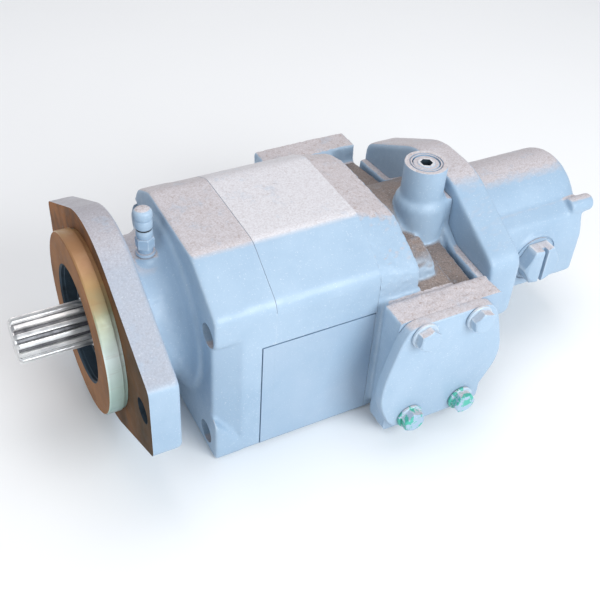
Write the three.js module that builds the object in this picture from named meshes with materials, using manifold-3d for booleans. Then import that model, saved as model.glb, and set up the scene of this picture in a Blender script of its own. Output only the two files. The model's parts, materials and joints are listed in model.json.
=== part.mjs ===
// Variable axial piston pump with a gerotor charge pump behind it, in millimetres.
// +X runs along the shaft from the drive end to the charge pump, +Z is up and -Y is the near port side.
// The origin is on the shaft axis, in the face of the mounting flange.
import * as THREE from "three";
import { mergeVertices } from "three/addons/utils/BufferGeometryUtils.js";
import Module from "manifold-3d";

const wasm = await Module();
wasm.setup();

// ---- fits ----
const GAP = 0.3; // space left between pieces that touch
const RUN_GAP = 0.35; // space around pieces that turn or slide

// ---- how finely round faces are cut ----
const FACET_SHARE = 0.5; // share of the facets asked for at each round face
const LEAST_FACETS = 8;
const SIMPLIFY = 0.004; // how far a face may move when needless corners are dropped

// ---- mounting flange, two bolts, 127 mm pilot ----
const PILOT_R = 63.5;
const PILOT_LENGTH = 12.7;
const PILOT_BORE_R = 40;
const FLANGE_T = 20;
const FLANGE_HALF_SPAN = 105.5;
const FLANGE_END_HALF = 28;
const FLANGE_ROUND_R = 76.5;
const FLANGE_SPREAD = 0.52; // half the angle that the round top and bottom span
const FLANGE_BOLT_HALF = 90.5;
const FLANGE_HOLE_R = 8.75;

// ---- rotating group, across the shaft ----
const PISTON_COUNT = 9;
const PISTON_R = 9.2;
const BALL_R = PISTON_R - 3;
const SHOE_R = PISTON_R + 1.2;
const SHOE_SPACE = 1.229; // half the space between neighbouring shoes
const PITCH_R = (SHOE_R + SHOE_SPACE) / Math.sin(Math.PI / PISTON_COUNT); // radius of the piston circle
const BLOCK_R = PITCH_R + PISTON_R + 4.3;
const DISC_R = PITCH_R + SHOE_R + 1.6; // swash plate's disc
const SHAFT_R = 16;
const SEAL_R = SHAFT_R + 1.5;
const GUIDE_R = SHAFT_R + 4.8;
const REAR_JOURNAL_R = SHAFT_R - 2;
const PUMP_SHAFT_R = SHAFT_R - 6; // the part inside the gerotor
const SPLINE_TEETH = 14;
const SPLINE_TIP_R = SHAFT_R - 0.39;
const SPLINE_ROOT_R = SHAFT_R - 2.7;

// ---- neck and housings ----
const SPLIT_X = FLANGE_T + 4.5; // where the front casting's two pieces meet
const NECK_LENGTH = 30.5;
const FRONT_BODY_LENGTH = 42;
const REAR_BODY_LENGTH = 75.5;
const BEARING_OUTER_R = 40;
const NECK_R = BEARING_OUTER_R + 10;
const NECK_FLARE_R = NECK_R + 12;
const BODY_FRONT = FLANGE_T + NECK_LENGTH; // front face of the boxed body
const SEAM_X = BODY_FRONT + FRONT_BODY_LENGTH; // joint between front and rear housings
const BODY_REAR = SEAM_X + REAR_BODY_LENGTH; // joint between rear housing and valve block
const CAVITY_R = BLOCK_R + 6.5;
const CAVITY_FRONT = BODY_FRONT + 7.5;
const BODY_TOP = CAVITY_R + 17;
const BODY_BOTTOM = -(CAVITY_R + 28);
const BODY_NEAR = -(CAVITY_R + 30);
const BODY_FAR = CAVITY_R + 18;
const KNEE_NEAR = BODY_NEAR + 38; // near edge of the flat top
const KNEE_FAR = BODY_FAR - 43; // far edge of the flat top
const EAR_BACK = BODY_FRONT + 17.5; // rear end of the scallops between the ears
const SCALLOP_NEAR = [-50, 18]; // bottom and top of the near scallop
const SCALLOP_FAR = [-44, 12];
const SCALLOP_DEPTH = 8; // how deep a scallop is at the front face
const PANEL_FRONT = SEAM_X - 7.5;
const PANEL_TOP = 14;
const PANEL_DEPTH = 2;
const VENT_X = FLANGE_T + 15; // vent fitting on the neck
const VENT_Y = -8;
const VENT_BASE = NECK_R + 1.3; // the fitting's lowest face, on its boss
const VENT_R = 6; // the fitting's foot
const VENT_BORE_R = 3;
const VENT_AF = 11;

// ---- housing bolts: places of the four long screws (Y, Z) ----
const HOUSING_BOLTS = [
  [BODY_NEAR + 11, 28],
  [BODY_NEAR + 17, BODY_BOTTOM + 14],
  [BODY_FAR - 15, 38],
  [BODY_FAR - 16, BODY_BOTTOM + 15],
];
const SCREW_R = 5;
const SCREW_HEAD_R = 8;
const SCREW_HEAD_T = 10;
const SCREW_SINK = 8; // depth of the head below the front face
const SCREW_SOCKET_AF = 8;
const SCREW_TIP = BODY_REAR + 18;

// ---- rotating group, along the shaft ----
const SPIGOT_LENGTH = 5.2; // valve block spigot inside the rear housing
const VALVE_PLATE_T = 5.4;
const PIVOT_X = SEAM_X + 7.5; // tilt axis of the swash plate, and the plane of the ball centres
const SWASH_FACE = PIVOT_X - 10;
const DISC_T = 9;
const BLOCK_FRONT = PIVOT_X + 12;
const BLOCK_REAR = BODY_REAR - SPIGOT_LENGTH - GAP - VALVE_PLATE_T - 0.5;
const PISTON_END = BLOCK_REAR - 6.6;
const SHOE_BASE_T = 3.2;
const SHOE_NECK_R = SHOE_R - 1.8;
const KIDNEY_HALF = 4.6;
const KIDNEY_ANGLE = 62;
const CRADLE_R = 38;
const CRADLE_SHELL = 2.4;
const ROCKER_INNER = 26; // inner faces of the rockers, each side of the shaft
const ROCKER_T = 18;
const SERVO_R = 5;
const SERVO_Z = CAVITY_R + 7.5;
const SERVO_FRONT = SEAM_X + 3.5;
const SERVO_LENGTH = 34;
const SERVO_TRAVEL = 20;

// ---- shaft and bearings ----
const SHAFT_END = -55.6;
const SPLINE_END = -6;
const FRONT_BEARING_X = 17;
const FRONT_BEARING_W = 22;
const REAR_BEARING_X = BODY_REAR + 2;
const REAR_BEARING_W = 15;
const REAR_BEARING_R = REAR_JOURNAL_R + 11;
const ROLLERS = 10;
const SEAL_OUTER_R = SEAL_R + 6.5;

// ---- valve block ----
const BLOCK_SHOULDER = BODY_REAR + 32;
const SHOULDER_DROP = 11; // how far the top falls to the rear of the valve block's front part
const BLOCK_END = BODY_REAR + 90;
const BLOCK_NECK_R = 42;
const WEB = [
  [-86, -20], [-30, -44], [30, -44], [86, -20], [86, 14], [48, 17], [30, 30], [-30, 30], [-48, 17], [-86, 14],
]; // outline of the block's rear rim
const ROOT_HALF = -BODY_NEAR + 8;
const ROOT_BACK = BODY_REAR + 60;
const WING_HALF = ROOT_HALF + 19;
const WING_BACK = BODY_REAR + 82;
const WING_TOP = 26;
const WING_BOTTOM = -78;
const PORT_X = BODY_REAR + 36;
const PORT_Z = -20.5;
const PORT_R = 20;
const PORT_BOLT_X = 2 * PORT_R + 2.9;
const PORT_BOLT_Z = 2 * PORT_R + 37.8;
const PORT_SCREW_R = 5;
const COVER_T = 8;
const COVER_GROW = PORT_R / 20; // the cover's outline was drawn for a 20 mm port
const COVER_HEAD_AF = 17;
const WASHER_R = 11;
const BOSS_X = BODY_REAR + 71;
const BOSS_Y = -20;
const BOSS_R = 15.5;
const BOSS_STEP_R = BOSS_R + 3.5;
const BOSS_STEP = 49; // top of the boss's thicker foot
const BOSS_TOP = 77;
const BOSS_PLUG_R = 9.6;
const BOSS_PLUG_T = 11;
const CARTRIDGE_R = 7;
const POPPET_SEAT = 26;
const POPPET_LENGTH = 16;

// ---- rear plate and charge pump ----
const PLATE_END = BLOCK_END + 27;
const PLATE_HALF = -BODY_NEAR + 4;
const PLATE_TOP = BODY_TOP - 9;
const PLATE_SHOULDER = 27;
const PLATE_FLAT = 22;
const PLATE_BOLTS = [[-62, 0], [62, 0], [-40, -30], [40, -30]];
const PLATE_SCREW_R = 4.6;
const CHARGE_LENGTH = 98;
const CHARGE_END = PLATE_END + CHARGE_LENGTH;
const CHARGE_R = 40;
const CHARGE_FLANGE = [
  [-66, -10], [-66, 10], [-30, 24], [30, 24], [66, 10], [66, -10], [30, -24], [-30, -24],
];
const CHARGE_FLANGE_T = 12;
const CHARGE_SIDE = [[-52, -42], [-20, -52], [20, -48], [34, -20], [20, 10], [-34, 22], [-47, 14], [-52, -4]];
const CHARGE_BOLT_Y = 56;
const CHARGE_BOLT_R = 5.3;
const LUG = { r: 7, y: -41, z: 17, length: 22, proud: 6 };
const GEAR_X = PLATE_END + 13;
const GEAR_W = 24;
const GEAR_OFFSET = 2.6; // eccentricity of the gerotor ring
const GEAR_LOBES = 6;
const RING_LOBES = GEAR_LOBES + 1;
const RING_R = 32;
const LOBE_CENTRE_R = RING_R - 6.6;
const LOBE_R = 7.4;
const LOBE_SPACE = 0.18; // space between the rotor and the ring's lobes
const TANG_X = GEAR_X + GEAR_W + 2; // rear end of the shaft, in the gerotor
const TANG_HALF = PUMP_SHAFT_R - 2.5;
const PLUG_X = PLATE_END + CHARGE_LENGTH / 2;
const PLUG_Z = -15;
const PLUG_BOSS_R = 22;
const PLUG_FACE = -52;
const PLUG_HEAD_T = 12;
const PLUG_AF = 30;
const PLUG_BORE_R = 8;
const CHARGE_POPPET = -38;

// ---- finishes ----
const PAINT = { color: 0xb9d3e6, roughness: 0.45, metalness: 0.1 };
const STEEL = { color: 0xb9bcc0, roughness: 0.3, metalness: 0.95 };
const DARK_STEEL = { color: 0x6f7377, roughness: 0.45, metalness: 0.9 };
const BRONZE = { color: 0xb08a4a, roughness: 0.4, metalness: 0.9 };
const RUBBER = { color: 0x17181a, roughness: 0.8, metalness: 0 };
const IRON = { color: 0x5c5f62, roughness: 0.7, metalness: 0.6 };

const part = new THREE.Group();
part.name = "axial_piston_pump";

// ---- building blocks ----
const AXES = {
  // local x, y, z of a shape drawn in a plane, as directions of the part
  x: [new THREE.Vector3(0, 1, 0), new THREE.Vector3(0, 0, 1), new THREE.Vector3(1, 0, 0)],
  y: [new THREE.Vector3(0, 0, 1), new THREE.Vector3(1, 0, 0), new THREE.Vector3(0, 1, 0)],
  z: [new THREE.Vector3(1, 0, 0), new THREE.Vector3(0, 1, 0), new THREE.Vector3(0, 0, 1)],
};

function solid(geometry) {
  const bare = new THREE.BufferGeometry();
  const flat = geometry.index ? geometry.toNonIndexed() : geometry;
  bare.setAttribute("position", flat.getAttribute("position"));
  const merged = mergeVertices(bare, 1e-4);
  return new wasm.Manifold(
    new wasm.Mesh({
      numProp: 3,
      vertProperties: merged.attributes.position.array,
      triVerts: new Uint32Array(merged.index.array),
    }),
  );
}

// A shape drawn in the plane across an axis, pushed along that axis from one place to another.
function prism(points, from, to, axis = "x") {
  const shape = new THREE.Shape(points.map(([u, v]) => new THREE.Vector2(u, v)));
  const made = new THREE.ExtrudeGeometry(shape, { depth: to - from, bevelEnabled: false });
  made.translate(0, 0, from);
  made.applyMatrix4(new THREE.Matrix4().makeBasis(...AXES[axis]));
  return solid(made);
}

// A solid between two convex outlines of the same number of corners, across the shaft.
function taper(first, from, last, to) {
  const n = first.length;
  const corner = (i) => (i < n ? [from, ...first[i]] : [to, ...last[i - n]]);
  const triangles = [];
  for (let i = 0; i < n; i += 1) {
    const j = (i + 1) % n;
    triangles.push([i, j, n + j], [i, n + j, n + i]);
  }
  for (let i = 1; i < n - 1; i += 1) triangles.push([0, i + 1, i], [n, n + i, n + i + 1]);
  const made = new THREE.BufferGeometry();
  const places = triangles.flatMap((t) => t.flatMap(corner));
  made.setAttribute("position", new THREE.BufferAttribute(new Float32Array(places), 3));
  const out = solid(made);
  return out.volume() < 0 ? flipped(made) : out;
}

// A closed profile of [distance along the axis, radius] pairs turned about the axis through (a, b).
function turned(profile, axis = "x", a = 0, b = 0, facets = 48) {
  const points = profile.map(([t, r]) => new THREE.Vector2(r, t));
  const segments = Math.max(LEAST_FACETS, 2 * Math.round((facets * FACET_SHARE) / 2));
  const made = new THREE.LatheGeometry([...points, points[0]], segments);
  made.applyMatrix4(new THREE.Matrix4().makeRotationX(Math.PI / 2));
  made.translate(a, b, 0);
  made.applyMatrix4(new THREE.Matrix4().makeBasis(...AXES[axis]));
  const out = solid(made);
  return out.volume() < 0 ? flipped(made) : out;
}

function flipped(geometry) {
  const flat = geometry.index ? geometry.toNonIndexed() : geometry;
  const p = flat.getAttribute("position");
  const turnedRound = new Float32Array(p.count * 3);
  for (let i = 0; i < p.count; i += 3) {
    for (let k = 0; k < 3; k += 1) {
      const from = i + [0, 2, 1][k];
      turnedRound.set([p.getX(from), p.getY(from), p.getZ(from)], (i + k) * 3);
    }
  }
  const bare = new THREE.BufferGeometry();
  bare.setAttribute("position", new THREE.BufferAttribute(turnedRound, 3));
  return solid(bare);
}

const rod = (r, from, to, axis = "x", a = 0, b = 0, segments = 48) =>
  turned([[from, 0], [from, r], [to, r], [to, 0]], axis, a, b, segments);

const tube = (inner, outer, from, to, axis = "x", a = 0, b = 0, segments = 48) =>
  turned([[from, inner], [from, outer], [to, outer], [to, inner]], axis, a, b, segments);

const box = (x0, x1, y0, y1, z0, z1) =>
  prism([[y0, z0], [y1, z0], [y1, z1], [y0, z1]], x0, x1);

const join = (solids) => solids.reduce((all, one) => all.add(one));
const cut = (body, solids) => solids.reduce((left, one) => left.subtract(one), body);
const circle = (count, radius, phase = 0) =>
  Array.from({ length: count }, (_, i) => {
    const a = phase + (2 * Math.PI * i) / count;
    return [radius * Math.cos(a), radius * Math.sin(a)];
  });

function piece(name, made, finish) {
  const mesh = made.simplify(SIMPLIFY).getMesh();
  const geometry = new THREE.BufferGeometry();
  geometry.setAttribute("position", new THREE.BufferAttribute(mesh.vertProperties, 3));
  geometry.setIndex(new THREE.BufferAttribute(mesh.triVerts, 1));
  const flat = geometry.toNonIndexed();
  flat.computeVertexNormals();
  const object = new THREE.Mesh(flat, new THREE.MeshStandardMaterial(finish));
  object.name = name;
  part.add(object);
}

// A slot bent along the piston circle, around the near (-Y) or far (+Y) port.
function kidney(side, from, to, half = KIDNEY_HALF, reach = KIDNEY_ANGLE) {
  const points = [];
  const steps = 12;
  for (let i = 0; i <= steps; i += 1) {
    const a = THREE.MathUtils.degToRad(-reach + (2 * reach * i) / steps);
    points.push([side * (PITCH_R + half) * Math.cos(a), (PITCH_R + half) * Math.sin(a)]);
  }
  for (let i = steps; i >= 0; i -= 1) {
    const a = THREE.MathUtils.degToRad(-reach + (2 * reach * i) / steps);
    points.push([side * (PITCH_R - half) * Math.cos(a), (PITCH_R - half) * Math.sin(a)]);
  }
  return prism(points, from, to);
}

// A coil of round wire along an axis that starts and ends with a turn lying flat.
function coil(wire, radius, from, to, turns, place) {
  const steps = Math.round(turns * 8);
  const path = [];
  for (let i = 0; i <= steps; i += 1) {
    const a = (2 * Math.PI * turns * i) / steps;
    const along = from + wire + ((to - from - 2 * wire) * i) / steps;
    path.push(place(along, radius * Math.cos(a), radius * Math.sin(a)));
  }
  const shape = new THREE.Shape(circle(5, wire).map(([u, v]) => new THREE.Vector2(u, v)));
  const made = new THREE.ExtrudeGeometry(shape, {
    extrudePath: new THREE.CatmullRomCurve3(path),
    steps: steps,
    bevelEnabled: false,
  });
  const out = solid(made);
  return out.volume() < 0 ? flipped(made) : out;
}

// ---- outlines across the shaft, as [Y, Z] ----
function bodyOutline(drop = 0) {
  return [
    [BODY_NEAR, BODY_BOTTOM + 3],
    [BODY_NEAR + 3, BODY_BOTTOM],
    [BODY_FAR - 14, BODY_BOTTOM],
    [BODY_FAR, BODY_BOTTOM + 14],
    [BODY_FAR, 26],
    [BODY_FAR - 6, 44],
    [BODY_FAR - 20, 59 - drop / 2],
    [KNEE_FAR, BODY_TOP - drop],
    [KNEE_NEAR, BODY_TOP - drop],
    [KNEE_NEAR - 12, BODY_TOP - 6 - drop],
    [KNEE_NEAR - 28, 53 - drop / 2],
    [BODY_NEAR, 46 - drop / 2],
  ];
}

function flangeOutline() {
  const upper = [];
  const steps = 10;
  for (let i = 0; i <= steps; i += 1) {
    const a = Math.PI / 2 - FLANGE_SPREAD + (2 * FLANGE_SPREAD * i) / steps;
    upper.push([FLANGE_ROUND_R * Math.cos(a), FLANGE_ROUND_R * Math.sin(a)]);
  }
  const lower = upper.map(([y, z]) => [-y, -z]);
  const end = FLANGE_HALF_SPAN;
  const half = FLANGE_END_HALF;
  return [[end, -half], [end, half], ...upper, [-end, half], [-end, -half], ...lower];
}

function plateOutline() {
  return [
    [-PLATE_HALF, -PLATE_SHOULDER],
    [-PLATE_FLAT, -PLATE_TOP],
    [PLATE_FLAT, -PLATE_TOP],
    [PLATE_HALF, -PLATE_SHOULDER],
    [PLATE_HALF, PLATE_SHOULDER],
    [PLATE_FLAT, PLATE_TOP],
    [-PLATE_FLAT, PLATE_TOP],
    [-PLATE_HALF, PLATE_SHOULDER],
  ];
}

// ---- castings ----
// The flange, neck and front of the body are one casting, kept as two pieces that meet behind the flange.
function frontCasting() {
  const outside = join([
    tube(PILOT_BORE_R, PILOT_R, -PILOT_LENGTH, 2, "x", 0, 0, 72),
    prism(flangeOutline(), 0, FLANGE_T),
    turned(
      [
        [FLANGE_T - 1, 0],
        [FLANGE_T - 1, NECK_R + 4],
        [FLANGE_T + 4, NECK_R],
        [BODY_FRONT - 14, NECK_R],
        [BODY_FRONT - 7, NECK_R + 2.5],
        [BODY_FRONT - 2.5, NECK_R + 7],
        [BODY_FRONT, NECK_FLARE_R],
        [BODY_FRONT + 3, NECK_FLARE_R],
        [BODY_FRONT + 3, 0],
      ],
      "x",
      0,
      0,
      64,
    ),
    prism(bodyOutline(), BODY_FRONT, SEAM_X),
    rod(VENT_R + 1, BEARING_OUTER_R - 8, NECK_R + 1, "z", VENT_X, VENT_Y, 24),
  ]);
  const sinks = HOUSING_BOLTS.flatMap(([y, z]) => [
    rod(SCREW_HEAD_R + 0.6, BODY_FRONT - 1, BODY_FRONT + SCREW_SINK + SCREW_HEAD_T + GAP, "x", y, z, 24),
    rod(SCREW_R + 0.5, BODY_FRONT, SEAM_X + 1, "x", y, z, 20),
  ]);
  const wedge = (face, inward, [from, to]) =>
    prism(
      [
        [BODY_FRONT - 1, face + inward * SCALLOP_DEPTH],
        [BODY_FRONT - 1, face - inward],
        [EAR_BACK, face - inward],
        [EAR_BACK, face],
      ],
      from,
      to,
      "z",
    );
  const scallop = [wedge(BODY_NEAR, 1, SCALLOP_NEAR), wedge(BODY_FAR, -1, SCALLOP_FAR)];
  return cut(outside, [
    ...sinks,
    ...scallop,
    panelCut(),
    rod(PILOT_BORE_R, -PILOT_LENGTH - 1, 1.2, "x", 0, 0, 64),
    rod(BEARING_OUTER_R - 8, 0, FRONT_BEARING_X + 1, "x", 0, 0, 64),
    rod(BEARING_OUTER_R, FRONT_BEARING_X - GAP, CAVITY_FRONT + 1, "x", 0, 0, 64),
    rod(CAVITY_R, CAVITY_FRONT, SEAM_X + 1, "x", 0, 0, 64),
    rod(FLANGE_HOLE_R, -1, FLANGE_T + 1, "x", FLANGE_BOLT_HALF, 0, 32),
    rod(FLANGE_HOLE_R, -1, FLANGE_T + 1, "x", -FLANGE_BOLT_HALF, 0, 32),
    rod(VENT_BORE_R, BEARING_OUTER_R - 10, NECK_R + 2, "z", VENT_X, VENT_Y, 20),
  ]);
}

const aheadOf = (x) =>
  box(-PILOT_LENGTH - 1, x, -FLANGE_HALF_SPAN - 1, FLANGE_HALF_SPAN + 1, -2 * PILOT_R, 2 * PILOT_R);
const mountingFlange = () => frontCasting().intersect(aheadOf(SPLIT_X));
const frontHousing = () => frontCasting().subtract(aheadOf(SPLIT_X + GAP));

// The shallow machined panel on the near side runs across the joint between the housings.
function panelCut() {
  return prism(
    [
      [BODY_NEAR - 1, BODY_BOTTOM - 1],
      [BODY_NEAR + PANEL_DEPTH, BODY_BOTTOM - 1],
      [BODY_NEAR + PANEL_DEPTH, PANEL_TOP],
      [BODY_NEAR - 1, PANEL_TOP],
    ],
    PANEL_FRONT,
    BODY_REAR + 1,
  );
}

function rearHousing() {
  const holes = HOUSING_BOLTS.map(([y, z]) =>
    rod(SCREW_R + 0.5, SEAM_X - 1, BODY_REAR + 1, "x", y, z, 20),
  );
  return cut(prism(bodyOutline(), SEAM_X + GAP, BODY_REAR), [
    ...holes,
    panelCut(),
    rod(CAVITY_R, SEAM_X, BODY_REAR + 1, "x", 0, 0, 64),
    rod(SERVO_R + RUN_GAP, SEAM_X, SERVO_FRONT + SERVO_LENGTH + SERVO_TRAVEL, "x", 0, SERVO_Z, 24),
  ]);
}

function wing(side) {
  const y = (v) => side * v;
  const pad = prism(
    [
      [y(ROOT_HALF), WING_BOTTOM],
      [y(WING_HALF), WING_BOTTOM],
      [y(WING_HALF), WING_TOP],
      [y(ROOT_HALF), WING_TOP],
    ],
    BODY_REAR + GAP,
    WING_BACK,
  );
  const root = prism(
    [
      [y(20), -56],
      [y(ROOT_HALF + 1), WING_BOTTOM + 6],
      [y(ROOT_HALF + 1), WING_TOP],
      [y(20), WING_TOP + 8],
    ],
    BODY_REAR + GAP,
    ROOT_BACK,
  );
  return pad.add(root);
}

function valveBlock() {
  const front = BODY_REAR + GAP;
  const outside = join([
    taper(bodyOutline(), front, bodyOutline(SHOULDER_DROP), BLOCK_SHOULDER),
    wing(-1),
    wing(1),
    rod(BLOCK_NECK_R, BLOCK_SHOULDER - 1, BLOCK_END, "x", 0, 0, 48),
    prism(WEB, BLOCK_END - 12, BLOCK_END),
    rod(BOSS_R, 10, BOSS_TOP, "z", BOSS_X, BOSS_Y, 40),
    rod(BOSS_STEP_R, 10, BOSS_STEP, "z", BOSS_X, BOSS_Y, 40),
    tube(REAR_BEARING_R + 1, CAVITY_R - GAP, BODY_REAR - SPIGOT_LENGTH, front + 1, "x", 0, 0, 64),
  ]);
  const screws = [-1, 1].flatMap((side) =>
    portBolts().map(([x, z]) => {
      const from = side < 0 ? -WING_HALF - 1 : WING_HALF - 20;
      return rod(PORT_SCREW_R + 0.2, from, from + 21, "y", z, x, 16);
    }),
  );
  const studs = HOUSING_BOLTS.map(([y, z]) => rod(SCREW_R + GAP, front - 1, SCREW_TIP + 2, "x", y, z, 20));
  const bores = [-1, 1].flatMap((side) => [
    kidney(side, BODY_REAR - SPIGOT_LENGTH - 1, PORT_X),
    side < 0
      ? rod(PORT_R, -WING_HALF - 1, -PITCH_R + 4, "y", PORT_Z, PORT_X, 40)
      : rod(PORT_R, PITCH_R - 4, WING_HALF + 1, "y", PORT_Z, PORT_X, 40),
  ]);
  return cut(outside, [
    ...screws,
    ...studs,
    ...bores,
    rod(REAR_BEARING_R, REAR_BEARING_X - 20, REAR_BEARING_X + REAR_BEARING_W + 0.8, "x", 0, 0, 48),
    rod(REAR_JOURNAL_R + 3, REAR_BEARING_X, BLOCK_END + 1, "x", 0, 0, 40),
    rod(CARTRIDGE_R, 25, BOSS_TOP + 1, "z", BOSS_X, BOSS_Y, 24),
    rod(BOSS_PLUG_R + 0.6, BOSS_TOP - BOSS_PLUG_T - 1, BOSS_TOP + 1, "z", BOSS_X, BOSS_Y, 32),
    ...PLATE_BOLTS.map(([y, z]) => rod(PLATE_SCREW_R, BLOCK_END - 11, BLOCK_END + 1, "x", y, z, 16)),
  ]);
}

const portBolts = () =>
  [-1, 1].flatMap((a) =>
    [-1, 1].map((b) => [PORT_X + (a * PORT_BOLT_X) / 2, PORT_Z + (b * PORT_BOLT_Z) / 2]),
  );

function rearPlate() {
  return cut(prism(plateOutline(), BLOCK_END + GAP, PLATE_END), [
    rod(REAR_JOURNAL_R + 3, BLOCK_END - 1, PLATE_END + 1, "x", 0, 0, 40),
    ...PLATE_BOLTS.map(([y, z]) => rod(PLATE_SCREW_R, BLOCK_END, PLATE_END + 1, "x", y, z, 16)),
  ]);
}

function chargeHousing() {
  const outside = join([
    turned(
      [
        [PLATE_END + GAP, 0],
        [PLATE_END + GAP, CHARGE_R],
        [CHARGE_END - 8, CHARGE_R],
        [CHARGE_END - 2.5, CHARGE_R - 3],
        [CHARGE_END, CHARGE_R - 9],
        [CHARGE_END, 0],
      ],
      "x",
      0,
      0,
      56,
    ),
    prism(CHARGE_SIDE, PLATE_END + CHARGE_FLANGE_T, CHARGE_END - 3),
    rod(PLUG_BOSS_R, PLUG_FACE, -20, "y", PLUG_Z, PLUG_X, 40),
    rod(LUG.r, CHARGE_END + LUG.proud - LUG.length, CHARGE_END + LUG.proud, "x", LUG.y, LUG.z, 28),
    prism(CHARGE_FLANGE, PLATE_END + GAP, PLATE_END + CHARGE_FLANGE_T),
  ]);
  return cut(outside, [
    rod(RING_R + RUN_GAP, PLATE_END - 1, GEAR_X + GEAR_W + GAP, "x", 0, GEAR_OFFSET, 48),
    rod(REAR_JOURNAL_R + 0.5, GEAR_X, TANG_X + 12, "x", 0, 0, 32),
    rod(PLUG_BORE_R, PLUG_FACE - 1, -18, "y", PLUG_Z, PLUG_X, 24),
    ...[-1, 1].map((side) =>
      rod(CHARGE_BOLT_R, PLATE_END - 1, PLATE_END + CHARGE_FLANGE_T + 1, "x", side * CHARGE_BOLT_Y, 0, 16),
    ),
  ]);
}

// ---- shaft, bearings and seal ----
function splineOutline() {
  const points = [];
  for (let i = 0; i < SPLINE_TEETH; i += 1) {
    const step = (2 * Math.PI) / SPLINE_TEETH;
    const tooth = [[0.08, SPLINE_ROOT_R], [0.3, SPLINE_TIP_R], [0.62, SPLINE_TIP_R], [0.84, SPLINE_ROOT_R]];
    for (const [share, r] of tooth) {
      const a = (i + share) * step;
      points.push([r * Math.cos(a), r * Math.sin(a)]);
    }
  }
  return points;
}

function driveShaft() {
  const body = turned(
    [
      [SHAFT_END + 3, 0],
      [SHAFT_END + 3, 6],
      [SPLINE_END - 1, SPLINE_ROOT_R - 0.5],
      [SPLINE_END, SEAL_R - 0.8],
      [SPLINE_END + 0.8, SEAL_R],
      [FRONT_BEARING_X + FRONT_BEARING_W + 3, SEAL_R],
      [FRONT_BEARING_X + FRONT_BEARING_W + 3, SEAL_R + 3],
      [FRONT_BEARING_X + FRONT_BEARING_W + 7, SEAL_R + 3],
      [FRONT_BEARING_X + FRONT_BEARING_W + 7, SHAFT_R],
      [BLOCK_REAR + 2, SHAFT_R],
      [BLOCK_REAR + 2, REAR_JOURNAL_R],
      [REAR_BEARING_X + REAR_BEARING_W + 4, REAR_JOURNAL_R],
      [REAR_BEARING_X + REAR_BEARING_W + 4, PUMP_SHAFT_R + 2],
      [GEAR_X - 6, PUMP_SHAFT_R + 2],
      [GEAR_X - 6, PUMP_SHAFT_R],
      [TANG_X, PUMP_SHAFT_R],
      [TANG_X, 0],
    ],
    "x",
    0,
    0,
    40,
  );
  const teeth = prism(splineOutline(), SHAFT_END, SPLINE_END - 2).intersect(
    turned(
      [[SHAFT_END, 0], [SHAFT_END, SPLINE_TIP_R - 1.8], [SHAFT_END + 2.2, SPLINE_TIP_R + 0.2],
       [SPLINE_END - 5, SPLINE_TIP_R + 0.2], [SPLINE_END - 2, SPLINE_ROOT_R], [SPLINE_END - 2, 0]],
      "x", 0, 0, 56,
    ),
  );
  const centre = turned([[SHAFT_END - 1, 0], [SHAFT_END - 1, 4.4], [SHAFT_END + 5, 0]], "x", 0, 0, 20);
  const flats = [-1, 1].map((side) =>
    box(GEAR_X - 2, TANG_X + 1, -12, 12, side < 0 ? -12 : TANG_HALF, side < 0 ? -TANG_HALF : 12),
  );
  return cut(body.add(teeth), [centre, ...flats]);
}

function frontInnerRace() {
  return turned([
    [FRONT_BEARING_X + 2, SEAL_R + GAP],
    [FRONT_BEARING_X + 2, SEAL_R + 6.5],
    [FRONT_BEARING_X + FRONT_BEARING_W - 1, SEAL_R + 9.5],
    [FRONT_BEARING_X + FRONT_BEARING_W - 1, SEAL_R + GAP],
  ]);
}

function frontOuterRace() {
  return turned([
    [FRONT_BEARING_X, BEARING_OUTER_R - 6.8],
    [FRONT_BEARING_X, BEARING_OUTER_R - GAP],
    [FRONT_BEARING_X + FRONT_BEARING_W - 4, BEARING_OUTER_R - GAP],
    [FRONT_BEARING_X + FRONT_BEARING_W - 4, BEARING_OUTER_R - 4],
  ]);
}

// Rollers held in one cage: each roller is joined to the cage rings at its ends.
function rollerCage(from, to, mid, rollerR, slope) {
  const rings = [
    tube(mid - 1.2, mid + 1.2, from, from + 2.5, "x", 0, 0, 40),
    tube(mid + slope - 1.2, mid + slope + 1.2, to - 2.5, to, "x", 0, 0, 40),
  ];
  const one = turned(
    [[from + 1, 0], [from + 1, rollerR], [to - 1, rollerR], [to - 1, 0]],
    "x", 0, 0, 16,
  );
  const lean = THREE.MathUtils.radToDeg(Math.atan2(slope, to - from));
  const rollers = circle(ROLLERS, 1).map(([c, s]) =>
    one
      .translate([-from, 0, 0])
      .rotate([0, -lean, 0])
      .translate([from, 0, mid])
      .rotate([THREE.MathUtils.radToDeg(Math.atan2(s, c)), 0, 0]),
  );
  return join([...rings, ...rollers]);
}

function frontCage() {
  const between = BEARING_OUTER_R - 6.8 - (SEAL_R + 6.5);
  const mid = SEAL_R + 6.5 + between / 2 + 0.2;
  const end = FRONT_BEARING_X + FRONT_BEARING_W - 4.5;
  return rollerCage(FRONT_BEARING_X + 2.5, end, mid, between / 2 - 1, 2.4);
}

const rearCage = () =>
  rollerCage(REAR_BEARING_X + 1, REAR_BEARING_X + REAR_BEARING_W - 1, REAR_JOURNAL_R + 3.9, 3, 0);

const rearOuterRace = () => {
  const outer = REAR_BEARING_R - GAP;
  return tube(REAR_BEARING_R - 3.4, outer, REAR_BEARING_X, REAR_BEARING_X + REAR_BEARING_W);
};

function sealCarrier() {
  return turned([
    [0.9, SEAL_OUTER_R],
    [0.9, PILOT_BORE_R - GAP],
    [-2.4, PILOT_BORE_R - GAP],
    [-2.4, SEAL_OUTER_R + 4],
    [-5, SEAL_OUTER_R + 2],
    [-5, SEAL_OUTER_R],
  ]);
}

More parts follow.
